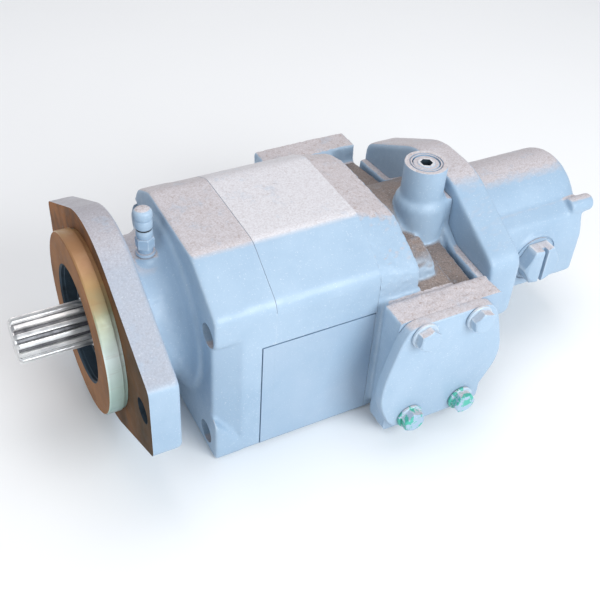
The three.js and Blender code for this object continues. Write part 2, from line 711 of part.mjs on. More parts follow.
function shaftSeal() {
  return turned([
    [-4.2, SEAL_R + GAP],
    [-4.2, SEAL_OUTER_R - GAP],
    [-1, SEAL_OUTER_R - GAP],
    [-1, SEAL_R + 3],
    [0.6, SEAL_R + 1.8],
    [0.6, SEAL_R + GAP],
  ]);
}

// ---- swash plate and its seat ----
const rockerStart = (side) => (side < 0 ? -ROCKER_INNER - ROCKER_T : ROCKER_INNER);

function swashPlate() {
  const disc = rod(DISC_R, SWASH_FACE - DISC_T, SWASH_FACE, "x", 0, 0, 56);
  const rockers = [-1, 1].map((side) =>
    rod(CRADLE_R, rockerStart(side), rockerStart(side) + ROCKER_T, "y", 0, PIVOT_X, 56),
  );
  const round = rod(DISC_R, PIVOT_X - CRADLE_R - 1, SWASH_FACE, "x", 0, 0, 56);
  const lever = box(SWASH_FACE - DISC_T, SWASH_FACE - 1, -6, 6, DISC_R - 2, CAVITY_R - 3.5);
  return cut(join(rockers).intersect(round).add(disc).add(lever), [
    rod(SHAFT_R + 7, PIVOT_X - CRADLE_R - 2, SWASH_FACE + 1, "x", 0, 0, 40),
  ]);
}

function cradleSeat(side) {
  const inner = rockerStart(side);
  const shell = tube(CRADLE_R + GAP, CRADLE_R + CRADLE_SHELL, inner, inner + ROCKER_T, "y", 0, PIVOT_X, 56);
  return shell.intersect(box(PIVOT_X - CRADLE_R - 4, PIVOT_X - CRADLE_R + 9, -CAVITY_R, CAVITY_R, -24, 24));
}

function cradleCarrier() {
  const ring = tube(SHAFT_R + 8, CAVITY_R - GAP, CAVITY_FRONT + GAP, PIVOT_X - CRADLE_R + 12, "x", 0, 0, 56);
  return cut(ring, [
    rod(CRADLE_R + CRADLE_SHELL + GAP, -CAVITY_R, CAVITY_R, "y", 0, PIVOT_X, 64),
    box(CAVITY_FRONT + 8, SWASH_FACE, -12, 12, 36, CAVITY_R),
  ]);
}

// ---- cylinder block, pistons and shoes ----
const pistonAngle = (k) => (2 * Math.PI * k) / PISTON_COUNT + Math.PI / (2 * PISTON_COUNT);
const onCircle = (k) => [PITCH_R * Math.cos(pistonAngle(k)), PITCH_R * Math.sin(pistonAngle(k))];

function cylinderBlock() {
  const body = turned([
    [BLOCK_FRONT, SHAFT_R + GAP],
    [BLOCK_FRONT, BLOCK_R - 1.5],
    [BLOCK_FRONT + 1.5, BLOCK_R],
    [BLOCK_REAR - 8, BLOCK_R],
    [BLOCK_REAR - 5, BLOCK_R - 3],
    [BLOCK_REAR, BLOCK_R - 3],
    [BLOCK_REAR, SHAFT_R + 6],
    [BLOCK_REAR - 14, SHAFT_R + 6],
    [BLOCK_REAR - 14, SHAFT_R + GAP],
  ]);
  const bores = Array.from({ length: PISTON_COUNT }, (_, k) => {
    const [y, z] = onCircle(k);
    return rod(PISTON_R + RUN_GAP, BLOCK_FRONT - 1, PISTON_END + 2, "x", y, z, 18).add(
      rod(4.4, PISTON_END, BLOCK_REAR + 1, "x", y, z, 12),
    );
  });
  return cut(body, bores);
}

function piston(k) {
  const [y, z] = onCircle(k);
  const ball = Array.from({ length: 5 }, (_, i) => {
    const a = Math.PI - (i * (Math.PI - 0.75)) / 4;
    return [PIVOT_X + BALL_R * Math.cos(a), BALL_R * Math.sin(a)];
  });
  ball[0][1] = 0;
  return turned(
    [
      ...ball,
      [BLOCK_FRONT - 4.5, 5],
      [BLOCK_FRONT - 1.5, PISTON_R],
      [PISTON_END, PISTON_R],
      [PISTON_END, 0],
    ],
    "x", y, z, 20,
  );
}

function shoe(k) {
  const [y, z] = onCircle(k);
  const face = SWASH_FACE + GAP;
  const inside = BALL_R + 0.45;
  const socket = [0.2, 0.7, 1.2].map((a) => [
    PIVOT_X - inside * Math.cos(a * 1.12),
    inside * Math.sin(a * 1.12),
  ]);
  return turned(
    [
      [face, 1],
      [face, SHOE_R],
      [face + SHOE_BASE_T, SHOE_R],
      [face + SHOE_BASE_T, SHOE_NECK_R],
      [PIVOT_X + 1.5, SHOE_NECK_R],
      ...socket.reverse(),
      [PIVOT_X - inside, 1],
    ],
    "x", y, z, 20,
  );
}

function retainerPlate() {
  const from = SWASH_FACE + GAP + SHOE_BASE_T + GAP;
  const holes = Array.from({ length: PISTON_COUNT }, (_, k) => {
    const [y, z] = onCircle(k);
    return rod(SHOE_NECK_R + 0.7, from - 1, from + 5, "x", y, z, 18);
  });
  return cut(tube(GUIDE_R + GAP + 0.2, DISC_R + 0.5, from, from + 3.4, "x", 0, 0, 48), holes);
}

function ballGuide() {
  const from = SWASH_FACE + 2;
  return turned([
    [from, SHAFT_R + GAP],
    [from, GUIDE_R - 2],
    [from + 4, GUIDE_R],
    [BLOCK_FRONT - 3.2, GUIDE_R],
    [BLOCK_FRONT - 3.2, SHAFT_R + GAP],
  ], "x", 0, 0, 40);
}

const blockSpring = () =>
  coil(1.3, SHAFT_R + 2.9, BLOCK_REAR - 13.5, BLOCK_REAR - 0.4, 3.2, (t, u, v) => new THREE.Vector3(t, u, v));

function valvePlate() {
  const rear = BODY_REAR - SPIGOT_LENGTH - GAP;
  const front = rear - VALVE_PLATE_T;
  return cut(tube(REAR_BEARING_R + 1, CAVITY_R - 1, front, rear, "x", 0, 0, 56), [
    kidney(-1, front - 1, rear + 1),
    kidney(1, front - 1, rear + 1),
  ]);
}

function servoPiston() {
  return turned([
    [SERVO_FRONT, 0],
    [SERVO_FRONT, SERVO_R - 1],
    [SERVO_FRONT + 1.5, SERVO_R],
    [SERVO_FRONT + 20, SERVO_R],
    [SERVO_FRONT + 20, SERVO_R - 1.2],
    [SERVO_FRONT + 23, SERVO_R - 1.2],
    [SERVO_FRONT + 23, SERVO_R],
    [SERVO_FRONT + SERVO_LENGTH, SERVO_R],
    [SERVO_FRONT + SERVO_LENGTH, 0],
  ], "x", 0, SERVO_Z, 20);
}

// ---- port cover, plugs, fitting and screws ----
function coverPlate() {
  const near = -WING_HALF - GAP;
  const half = [
    [-30, 47], [30, 47], [38, 40], [44, 22], [49.5, 0], [48, -14], [38, -32], [33, -44], [26, -48.5],
    [-28, -48.5], [-38, -42], [-47, -20], [-47.5, -4], [-44, 12], [-37, 38],
  ];
  const outline = half.map(([x, z]) => [PORT_Z + COVER_GROW * z, PORT_X + COVER_GROW * x]);
  return cut(prism(outline, near - COVER_T, near, "y"), [
    ...portBolts().map(([x, z]) => rod(PORT_SCREW_R + 0.6, near - COVER_T - 1, near + 1, "y", z, x, 20)),
  ]);
}

const hexagon = (acrossFlats) => circle(6, acrossFlats / Math.sqrt(3), Math.PI / 6);

function coverBolt([x, z]) {
  const under = -WING_HALF - GAP - COVER_T - GAP;
  const shift = (points) => points.map(([u, v]) => [z + u, x + v]);
  const tip = under - 9.6;
  const cone = [[tip, 0], [tip, 8.3], [tip + 1.4, 9.9], [under, 9.9], [under, 0]];
  return join([
    rod(PORT_SCREW_R, under, -WING_HALF + 16, "y", z, x, 16),
    rod(WASHER_R, under - 2.4, under, "y", z, x, 28),
    prism(shift(hexagon(COVER_HEAD_AF)), tip, under - 2.3, "y").intersect(turned(cone, "y", z, x, 24)),
  ]);
}

function bossPlug() {
  const socket = hexagon(SCREW_SOCKET_AF).map(([u, v]) => [BOSS_X + u, BOSS_Y + v]);
  const foot = BOSS_TOP - BOSS_PLUG_T;
  const rim = BOSS_TOP - 0.8;
  const plug = turned(
    [[foot, 0], [foot, BOSS_PLUG_R], [rim, BOSS_PLUG_R], [BOSS_TOP, BOSS_PLUG_R - 0.7], [BOSS_TOP, 0]],
    "z", BOSS_X, BOSS_Y, 32,
  );
  return plug.subtract(prism(socket, BOSS_TOP - 7, BOSS_TOP + 1, "z"));
}

function reliefPoppet() {
  return turned(
    [
      [POPPET_SEAT, 0],
      [POPPET_SEAT + 4, 4],
      [POPPET_SEAT + 5, CARTRIDGE_R - RUN_GAP],
      [POPPET_SEAT + POPPET_LENGTH, CARTRIDGE_R - RUN_GAP],
      [POPPET_SEAT + POPPET_LENGTH, 0],
    ],
    "z", BOSS_X, BOSS_Y, 20,
  );
}

const reliefSpring = () =>
  coil(
    0.9, CARTRIDGE_R - 2.4, POPPET_SEAT + POPPET_LENGTH + GAP, BOSS_TOP - BOSS_PLUG_T - GAP, 5,
    (t, u, v) => new THREE.Vector3(BOSS_X + u, BOSS_Y + v, t),
  );

function chargePoppet() {
  return turned(
    [
      [-19, 0],
      [-22, 5],
      [-24, PLUG_BORE_R - RUN_GAP],
      [CHARGE_POPPET + 5, PLUG_BORE_R - RUN_GAP],
      [CHARGE_POPPET + 5, 0],
    ],
    "y", PLUG_Z, PLUG_X, 20,
  );
}

function chargePlug() {
  const hex = hexagon(PLUG_AF).map(([u, v]) => [PLUG_Z + v, PLUG_X + u]);
  const head = PLUG_FACE - GAP;
  const top = head - PLUG_HEAD_T;
  const half = PLUG_AF / 2;
  const cone = [[top, 0], [top, half - 0.4], [top + 2, half + 2.5], [head, half + 2.5], [head, 0]];
  const body = join([
    prism(hex, top, head, "y").intersect(turned(cone, "y", PLUG_Z, PLUG_X, 36)),
    rod(PLUG_BORE_R - 0.4, head - 1, CHARGE_POPPET - 2, "y", PLUG_Z, PLUG_X, 24),
  ]);
  return body.subtract(box(PLUG_X - 1.8, PLUG_X + 1.8, top - 1, top + 5, PLUG_Z - 20, PLUG_Z + 20));
}

const ventTurned = (profile) =>
  turned(profile.map(([up, r]) => [VENT_BASE + up, r]), "z", VENT_X, VENT_Y, 28);

function ventAdapter() {
  const hex = hexagon(VENT_AF).map(([u, v]) => [VENT_X + u, VENT_Y + v]);
  return join([
    rod(VENT_BORE_R - 0.5, BEARING_OUTER_R + 1.5, VENT_BASE + 4, "z", VENT_X, VENT_Y, 20),
    ventTurned([[0, 0], [0, VENT_R], [2.2, VENT_R], [2.2, VENT_R - 1], [6.5, VENT_R - 1], [6.5, 0]]),
    prism(hex, VENT_BASE + 6, VENT_BASE + 13.5, "z"),
    ventTurned([[13, 0], [13, 5.4], [18.5, 5.4], [19.5, 4.6], [19.5, 3.4], [20.3, 3.4], [20.3, 0]]),
  ]);
}

const ventCap = () =>
  ventTurned([[20.6, 0], [20.6, 5], [21.4, 5.7], [26.5, 5.7], [28, 6], [32.5, 6], [34.6, 4.6], [35, 0]]);

function housingBolt([y, z]) {
  const head = BODY_FRONT + SCREW_SINK;
  const socket = hexagon(SCREW_SOCKET_AF).map(([u, v]) => [y + u, z + v]);
  return cut(
    join([
      rod(SCREW_HEAD_R, head, head + SCREW_HEAD_T, "x", y, z, 24),
      rod(SCREW_R, head + SCREW_HEAD_T - 1, SCREW_TIP, "x", y, z, 16),
    ]),
    [prism(socket, head - 1, head + 6)],
  );
}

// ---- gerotor ----
// The ring has round lobes; the rotor is the shape they leave as it rolls inside them.
function rotorOutline() {
  const points = [];
  const steps = 96;
  for (let i = 0; i < steps; i += 1) {
    const even = (2 * Math.PI * i) / steps;
    // the hollows turn fastest, so they get the closest steps
    const a = even - (0.85 * Math.sin(GEAR_LOBES * even)) / GEAR_LOBES;
    // the path of one ring lobe's centre, seen from the turning rotor
    const centre = (t) => [
      LOBE_CENTRE_R * Math.cos(t) - GEAR_OFFSET * Math.cos(RING_LOBES * t),
      LOBE_CENTRE_R * Math.sin(t) - GEAR_OFFSET * Math.sin(RING_LOBES * t),
    ];
    const [x, y] = centre(a);
    const dx = -LOBE_CENTRE_R * Math.sin(a) + RING_LOBES * GEAR_OFFSET * Math.sin(RING_LOBES * a);
    const dy = LOBE_CENTRE_R * Math.cos(a) - RING_LOBES * GEAR_OFFSET * Math.cos(RING_LOBES * a);
    const length = Math.hypot(dx, dy);
    const inset = LOBE_R + LOBE_SPACE;
    points.push([x - (inset * dy) / length, y + (inset * dx) / length]);
  }
  return points;
}

function gerotorRotor() {
  const bore = [];
  const r = PUMP_SHAFT_R + RUN_GAP;
  const flat = TANG_HALF + RUN_GAP;
  const reach = Math.sqrt(r * r - flat * flat);
  const half = Math.atan2(flat, reach);
  for (let i = 0; i <= 8; i += 1) {
    const a = -half + (2 * half * i) / 8;
    bore.push([r * Math.cos(a), r * Math.sin(a)]);
  }
  const other = bore.map(([u, v]) => [-u, -v]);
  return prism(rotorOutline(), GEAR_X, GEAR_X + GEAR_W - GAP).subtract(
    prism([...bore, ...other], GEAR_X - 1, GEAR_X + GEAR_W + 1),
  );
}

function gerotorRing() {
  const lobes = circle(RING_LOBES, LOBE_CENTRE_R, -Math.PI / (2 * RING_LOBES));
  const inner = LOBE_CENTRE_R - 0.4;
  const body = tube(inner, RING_R, GEAR_X, GEAR_X + GEAR_W - GAP, "x", 0, GEAR_OFFSET, 72);
  const round = rod(RING_R - 1, GEAR_X, GEAR_X + GEAR_W - GAP, "x", 0, GEAR_OFFSET, 72);
  const pins = lobes.map(([u, v]) =>
    rod(LOBE_R, GEAR_X, GEAR_X + GEAR_W - GAP, "x", u, GEAR_OFFSET + v, 28).intersect(round),
  );
  return join([body, ...pins]);
}

// ---- assembly ----
piece("mounting_flange", mountingFlange(), PAINT);
piece("front_housing", frontHousing(), PAINT);
piece("rear_housing", rearHousing(), PAINT);
piece("valve_block", valveBlock(), PAINT);
piece("rear_plate", rearPlate(), PAINT);
piece("charge_pump_housing", chargeHousing(), PAINT);
piece("seal_carrier", sealCarrier(), DARK_STEEL);
piece("shaft_seal", shaftSeal(), RUBBER);
piece("front_outer_race", frontOuterRace(), STEEL);
piece("front_inner_race", frontInnerRace(), STEEL);
piece("front_roller_cage", frontCage(), STEEL);
piece("rear_outer_race", rearOuterRace(), STEEL);
piece("rear_roller_cage", rearCage(), STEEL);
piece("drive_shaft", driveShaft(), STEEL);
piece("cradle_carrier", cradleCarrier(), IRON);
piece("cradle_bearing_near", cradleSeat(-1), BRONZE);
piece("cradle_bearing_far", cradleSeat(1), BRONZE);
piece("swash_plate", swashPlate(), DARK_STEEL);
piece("cylinder_block", cylinderBlock(), IRON);
for (let k = 0; k < PISTON_COUNT; k += 1) {
  piece(`piston_${k + 1}`, piston(k), STEEL);
  piece(`shoe_${k + 1}`, shoe(k), BRONZE);
}
piece("retainer_plate", retainerPlate(), STEEL);
piece("ball_guide", ballGuide(), DARK_STEEL);
piece("block_spring", blockSpring(), DARK_STEEL);
piece("valve_plate", valvePlate(), BRONZE);
piece("servo_piston", servoPiston(), STEEL);
piece("cover_plate", coverPlate(), PAINT);
portBolts().forEach((place, i) => piece(`cover_bolt_${i + 1}`, coverBolt(place), PAINT));
piece("boss_plug", bossPlug(), STEEL);
piece("relief_poppet", reliefPoppet(), STEEL);
piece("relief_spring", reliefSpring(), DARK_STEEL);
piece("charge_poppet", chargePoppet(), STEEL);
piece("charge_plug", chargePlug(), PAINT);
piece("vent_adapter", ventAdapter(), PAINT);
piece("vent_cap", ventCap(), PAINT);
HOUSING_BOLTS.forEach((place, i) => piece(`housing_bolt_${i + 1}`, housingBolt(place), DARK_STEEL));
piece("gerotor_rotor", gerotorRotor(), DARK_STEEL);
piece("gerotor_ring", gerotorRing(), IRON);

export default part;
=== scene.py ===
"""Looks of an axial piston pump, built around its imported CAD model.

Sizes are in millimetres and turn into metres where a mesh is made. +X runs along the shaft
towards the charge pump, +Z is up and -Y is the side with the bolted port cover.
"""
import json
import logging
import math
from dataclasses import dataclass, field
from enum import Enum
from typing import Callable, Iterable, Sequence

import bmesh
import bpy
import numpy as np
from mathutils import Matrix, Vector


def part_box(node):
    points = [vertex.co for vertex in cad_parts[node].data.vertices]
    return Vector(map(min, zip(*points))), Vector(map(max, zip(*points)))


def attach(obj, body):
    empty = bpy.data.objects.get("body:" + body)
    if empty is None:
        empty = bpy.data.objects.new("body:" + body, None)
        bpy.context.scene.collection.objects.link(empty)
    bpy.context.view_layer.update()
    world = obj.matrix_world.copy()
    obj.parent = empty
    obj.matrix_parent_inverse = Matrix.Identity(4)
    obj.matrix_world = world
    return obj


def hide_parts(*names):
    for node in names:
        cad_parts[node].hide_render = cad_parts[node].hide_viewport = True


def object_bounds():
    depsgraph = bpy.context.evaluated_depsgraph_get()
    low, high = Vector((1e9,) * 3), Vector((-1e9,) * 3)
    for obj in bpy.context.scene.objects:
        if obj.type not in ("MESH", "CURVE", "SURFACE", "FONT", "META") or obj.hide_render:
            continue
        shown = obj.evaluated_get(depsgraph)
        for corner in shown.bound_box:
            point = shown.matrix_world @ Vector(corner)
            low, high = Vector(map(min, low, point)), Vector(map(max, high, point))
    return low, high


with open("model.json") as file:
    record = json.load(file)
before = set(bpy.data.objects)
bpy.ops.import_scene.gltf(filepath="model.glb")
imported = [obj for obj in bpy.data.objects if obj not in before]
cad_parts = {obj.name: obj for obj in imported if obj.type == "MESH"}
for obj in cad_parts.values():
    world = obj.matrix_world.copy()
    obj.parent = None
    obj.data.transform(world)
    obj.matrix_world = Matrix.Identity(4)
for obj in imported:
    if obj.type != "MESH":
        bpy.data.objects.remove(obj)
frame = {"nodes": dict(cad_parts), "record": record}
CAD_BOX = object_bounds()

LOG = logging.getLogger("pump")
MM = 0.001
Points = np.ndarray
Colour = tuple[float, float, float]

ACROSS = (-120, 120)
UPRIGHT = (-100, 100)
BODY_BORE = 54
SCREW_WAY = 5.5
SMALL_BORE = 17
PORT_RADIUS = 20
PORT_CENTRE = (204, -20.5)
PORT_SCREWS = (21.45, 38.9)
BOSS_CENTRE = (239, -20)
SCREW_SINK = 8.6
FLANGE_HOLE = 8.75
SEAM_GAP = 0.28
SEAM_SHOWS_ABOVE = 40
BROAD_FACE = 6

BROWN_GRIME: Colour = (0.26, 0.17, 0.13)
PALE_SPECK: Colour = (0.78, 0.80, 0.82)
WORN_EDGE: Colour = (0.80, 0.84, 0.87)
# Dark blue painted shade for hollow corners.
PAINTED_CORNER_SHADE: Colour = (0.16, 0.24, 0.33)
MARKER_GREEN: Colour = (0.03, 0.42, 0.30)
# Dark olive-brown for the darker near end of a stained face.
NEAR_END_DARK: Colour = (0.035, 0.032, 0.02)
RUST_STREAK: Colour = (0.30, 0.17, 0.08)


class Axis(Enum):
    """The part's axis that a shape runs along, with the two directions across it."""

    X = ((1, 0, 0), (0, 1, 0), (0, 0, 1))
    Y = ((0, 1, 0), (0, 0, 1), (1, 0, 0))
    Z = ((0, 0, 1), (1, 0, 0), (0, 1, 0))

    def place(self, along: Points, first: Points, second: Points) -> Points:
        """Points from distances along the axis and in the two directions across it.

        Args:
            along: Distances along the axis.
            first: Distances in the first direction across.
            second: Distances in the second direction across.

        Returns:
            An (n, 3) array of points.
        """
        basis = np.array(self.value, float)
        local = np.stack(np.broadcast_arrays(along, first, second), axis=-1).reshape(-1, 3)
        return local @ basis


# ---- the CAD model's places, in millimetres ----
def low(node: str) -> Vector:
    """Lowest corner of a CAD node, in millimetres."""
    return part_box(node)[0] / MM


def high(node: str) -> Vector:
    """Highest corner of a CAD node, in millimetres."""
    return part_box(node)[1] / MM


def middle(node: str) -> Vector:
    """Centre of a CAD node's box, in millimetres."""
    return (low(node) + high(node)) / 2


# ---- shapes worked out as arrays ----
@dataclass
class Shell:
    """A closed surface: points in millimetres and faces as rows of corner numbers."""

    points: Points
    faces: list[tuple[int, ...]]

    @staticmethod
    def joined(shells: Sequence["Shell"]) -> "Shell":
        """Several shells as one.

        Args:
            shells: The shells to put together.

        Returns:
            One shell with all their points and faces.
        """
        faces: list[tuple[int, ...]] = []
        start = 0
        for one in shells:
            faces += [tuple(c + start for c in f) for f in one.faces]
            start += len(one.points)
        return Shell(np.concatenate([s.points for s in shells]), faces)


def quads(rows: int, columns: int, wrap_rows: bool) -> list[tuple[int, ...]]:
    """Faces of a grid of points whose columns close on themselves.

    Args:
        rows: Number of rows.
        columns: Number of columns.
        wrap_rows: Whether the last row joins the first.

    Returns:
        Rows of four corner numbers.
    """
    number = np.arange(rows * columns).reshape(rows, columns)
    if wrap_rows:
        number = np.concatenate([number, number[:1]])
    here, after = number[:-1], number[1:]
    corners = [here, np.roll(here, -1, 1), np.roll(after, -1, 1), after]
    return [tuple(f) for f in np.stack([c.ravel() for c in corners], 1).tolist()]


def turned(profile: Sequence[Sequence[float]], axis: Axis = Axis.X, across: Sequence[float] = (0, 0),
           columns: int = 96) -> Shell:
    """A profile turned once round an axis.

    The point at angle a of the profile point (t, r) is t along the axis, r cos a and r sin a across.

    Args:
        profile: Closed outline as (distance along, radius) pairs; both ends may lie on the axis.
        axis: The axis it turns about.
        across: Where that axis crosses the plane across it.
        columns: Steps round the axis.

    Returns:
        The closed surface.
    """
    line = np.array(profile, float)
    angle = np.linspace(0, 2 * np.pi, columns, endpoint=False)
    along = np.repeat(line[:, :1], columns, 1)
    radius = np.maximum(line[:, 1:], 0)
    points = axis.place(along, across[0] + radius * np.cos(angle), across[1] + radius * np.sin(angle))
    open_ends = line[0, 1] <= 0 and line[-1, 1] <= 0
    return Shell(points, quads(len(line), columns, not open_ends))


def rod(radius: float, start: float, end: float, axis: Axis = Axis.X, across: Sequence[float] = (0, 0),
        columns: int = 72) -> Shell:
    """A plain round bar as a turned surface: the profile goes out, along and back in."""
    return turned([(start, 0), (start, radius), (end, radius), (end, 0)], axis, across, columns)


def arc_corners(corners: Sequence[Sequence[float]], radius: float | Sequence[float],
                steps: int = 7) -> Points:
    """An outline whose corners are eased by curves.

    Each corner C between the points A and B, a radius back along each edge, becomes the curve
    (1-s)(1-s)A + 2s(1-s)C + ssB, with s from 0 to 1.

    Args:
        corners: The outline's corners in order.
        radius: How far from each corner its curve starts, one value or one for each corner.
        steps: Points on each curve.

    Returns:
        An (n, 2) array of points.
    """
    here = np.array(corners, float)
    back, forth = np.roll(here, 1, 0) - here, np.roll(here, -1, 0) - here
    reach = np.broadcast_to(np.array(radius, float), len(here))[:, None]
    lengths = np.linalg.norm(back, axis=1, keepdims=True), np.linalg.norm(forth, axis=1, keepdims=True)
    a = here + back / lengths[0] * np.minimum(reach, lengths[0] * 0.49)
    b = here + forth / lengths[1] * np.minimum(reach, lengths[1] * 0.49)
    s = np.linspace(0, 1, steps)[None, :, None]
    curve = (1 - s) ** 2 * a[:, None] + 2 * s * (1 - s) * here[:, None] + s ** 2 * b[:, None]
    return curve.reshape(-1, 2)


def inset(outline: Points, depth: Points) -> Points:
    """An outline moved inwards by several depths.

    Each point moves square to the line between its neighbours.

    Args:
        outline: An (n, 2) outline.
        depth: The depths, one for each copy.

    Returns:
        A (len(depth), n, 2) array.
    """
    side = np.roll(outline, -1, 0) - np.roll(outline, 1, 0)
    side /= np.maximum(np.linalg.norm(side, axis=1, keepdims=True), 1e-9)
    after = np.roll(outline, -1, 0)
    turn = np.sign(np.sum(outline[:, 0] * after[:, 1] - outline[:, 1] * after[:, 0]))
    inward = turn * np.stack([-side[:, 1], side[:, 0]], 1)
    return outline[None] + np.array(depth, float)[:, None, None] * inward[None]


def pushed(outline: Sequence[Sequence[float]] | Points, start: float, end: float, axis: Axis = Axis.X,
           edge: float = 0.0, far_edge: float | None = None, steps: int = 5) -> Shell:
    """An outline pushed along an axis, with rounded rims.

    On a rim of radius e the outline is inset by e(1 - sin b) at the depth e(1 - cos b), with b from
    0 to a quarter turn.

    Args:
        outline: Closed outline across the axis.
        start: Where it starts along the axis.
        end: Where it ends.
        axis: The axis.
        edge: Radius of the rim at the start.
        far_edge: Radius of the rim at the end, the same as edge if left out.
        steps: Rows on each rim.

    Returns:
        The closed surface with flat ends.
    """
    flat = np.array(outline, float)
    far = edge if far_edge is None else far_edge
    b = np.linspace(0, np.pi / 2, steps)
    near_rows = (start + edge * (1 - np.cos(b)), edge * (1 - np.sin(b))) if edge else ([start], [0])
    far_rows = (end - far * (1 - np.cos(b[::-1])), far * (1 - np.sin(b[::-1]))) if far else ([end], [0])
    along = np.concatenate([near_rows[0], far_rows[0]])
    rings = inset(flat, np.concatenate([near_rows[1], far_rows[1]]))
    points = axis.place(along[:, None], rings[..., 0], rings[..., 1])
    count, rows = len(flat), len(along)
    caps = [tuple(range(count))[::-1], tuple(range((rows - 1) * count, rows * count))]
    return Shell(points, quads(rows, count, False) + caps)


def lofted(first: Points, start: float, last: Points, end: float, rows: int = 6) -> Shell:
    """A solid between two outlines across the shaft: each row is their mix in proportion."""
    share = np.linspace(0, 1, rows)[:, None, None]
    rings = first[None] * (1 - share) + last[None] * share
    along = start + (end - start) * share[..., 0]
    points = Axis.X.place(along, rings[..., 0], rings[..., 1])
    count = len(first)
    caps = [tuple(range(count))[::-1], tuple(range((rows - 1) * count, rows * count))]
    return Shell(points, quads(rows, count, False) + caps)


def block(x: Sequence[float], y: Sequence[float], z: Sequence[float]) -> Shell:
    """A box between two places on each axis, as an outline pushed along the shaft."""
    return pushed([(y[0], z[0]), (y[1], z[0]), (y[1], z[1]), (y[0], z[1])], x[0], x[1])


def hexagon(across_flats: float, steps: int = 8) -> Points:
    """A hexagon with points along its sides: at angle a from a flat the radius is half the width / cos a."""
    angle = np.linspace(0, 2 * np.pi, 6 * steps, endpoint=False)
    off = (angle + np.pi / 6) % (np.pi / 3) - np.pi / 6
    radius = across_flats / 2 / np.cos(off)
    return np.stack([radius * np.cos(angle), radius * np.sin(angle)], 1)


def hex_bar(across_flats: float, start: float, end: float, chamfer: float, axis: Axis,
            across: Sequence[float], steps: int = 16) -> Shell:
    """A hexagon bar whose start is turned to a cone.

    The radius is the smaller of the hexagon's and that of a cone which starts at the flats' half
    width less the chamfer and grows by 1.7 for each millimetre along.

    Args:
        across_flats: Width of the hexagon.
        start: Where the coned end is.
        end: The other end.
        chamfer: How far inside the flats the cone starts.
        axis: The axis.
        across: Where the axis crosses the plane across it.
        steps: Points on each side of the hexagon.

    Returns:
        The closed surface.
    """
    way = 1 if end > start else -1
    flat = hexagon(across_flats, steps)
    full = np.linalg.norm(flat, axis=1)
    depth = np.array([0, 0.25, 0.6, 1.0, 1.5, 2.2, abs(end - start)])
    cone = across_flats / 2 - chamfer + 1.7 * depth
    radius = np.minimum(full[None], cone[:, None])
    radius[-1] = full
    unit = flat / full[:, None]
    points = axis.place((start + way * depth)[:, None], across[0] + radius * unit[:, 0],
                        across[1] + radius * unit[:, 1])
    count = len(flat)
    caps = [tuple(range(count))[::-1], tuple(range(6 * count, 7 * count))]
    return Shell(points, quads(7, count, False) + caps)


# ---- noise and smoothing ----
def lattice_noise(points: Points, size: float, seed: int) -> Points:
    """Soft noise: random values on a cubic lattice, mixed by smoothstep weights between its corners.

    Args:
        points: Where to read it, in millimetres.
        size: Distance between lattice points.
        seed: Seed of the random values.

    Returns:
        Values from -1 to 1.
    """
    side = 32
    values = np.random.default_rng(seed).uniform(-1, 1, (side, side, side))
    scaled = points / size
    cell = np.floor(scaled).astype(int)
    part = scaled - cell
    weight = part * part * (3 - 2 * part)
    total = np.zeros(len(points))
    for corner in np.ndindex(2, 2, 2):
        index = (cell + np.array(corner)) % side
        share = np.prod(np.where(np.array(corner) == 1, weight, 1 - weight), axis=1)
        total += share * values[index[:, 0], index[:, 1], index[:, 2]]
    return total


def relaxed(points: Points, edges: Points, rounds: int) -> Points:
    """Points drawn half way to the mean of their neighbours, again and again, which rounds the edges.

    Args:
        points: An (n, 3) array.
        edges: An (m, 2) array of corner numbers.
        rounds: How many times.

    Returns:
        The moved points.
    """
    count = len(points)
    ends = np.concatenate([edges, edges[:, ::-1]])
    degree = np.maximum(np.bincount(ends[:, 0], minlength=count), 1)[:, None]
    for _ in range(rounds):
        total = [np.bincount(ends[:, 0], points[ends[:, 1], k], count) for k in range(3)]
        points = 0.5 * points + 0.5 * np.stack(total, 1) / degree
    return points


def mesh_points(mesh: bpy.types.Mesh) -> Points:
    """A mesh's points in millimetres."""
    flat = np.zeros(len(mesh.vertices) * 3, np.float32)
    mesh.vertices.foreach_get("co", flat)
    return flat.reshape(-1, 3).astype(float) / MM


def mesh_normals(mesh: bpy.types.Mesh) -> Points:
    """A mesh's normals at its points."""
    flat = np.zeros(len(mesh.vertices) * 3, np.float32)
    mesh.vertex_normals.foreach_get("vector", flat)
    return flat.reshape(-1, 3).astype(float)


def mesh_edges(mesh: bpy.types.Mesh) -> Points:
    """A mesh's edges as pairs of corner numbers."""
    flat = np.zeros(len(mesh.edges) * 2, np.int32)
    mesh.edges.foreach_get("vertices", flat)
    return flat.reshape(-1, 2)


def face_centres(mesh: bpy.types.Mesh) -> tuple[Points, Points]:
    """Centres in millimetres and normals of a mesh's faces."""
    centre = np.zeros(len(mesh.polygons) * 3, np.float32)
    normal = np.zeros(len(mesh.polygons) * 3, np.float32)
    mesh.polygons.foreach_get("center", centre)
    mesh.polygons.foreach_get("normal", normal)
    return centre.reshape(-1, 3) / MM, normal.reshape(-1, 3)


# ---- from shells to pieces ----
def to_object(name: str, shell: Shell) -> bpy.types.Object:
    """A Blender object of a shell, with doubled points merged and faces turned outwards."""
    mesh = bpy.data.meshes.new(name)
    mesh.from_pydata((shell.points * MM).tolist(), [], shell.faces)
    work = bmesh.new()
    work.from_mesh(mesh)
    bmesh.ops.remove_doubles(work, verts=work.verts, dist=2e-6)
    bmesh.ops.dissolve_degenerate(work, edges=work.edges, dist=1e-7)
    bmesh.ops.recalc_face_normals(work, faces=work.faces)
    work.to_mesh(mesh)
    work.free()
    made = bpy.data.objects.new(name, mesh)
    bpy.context.scene.collection.objects.link(made)
    return made


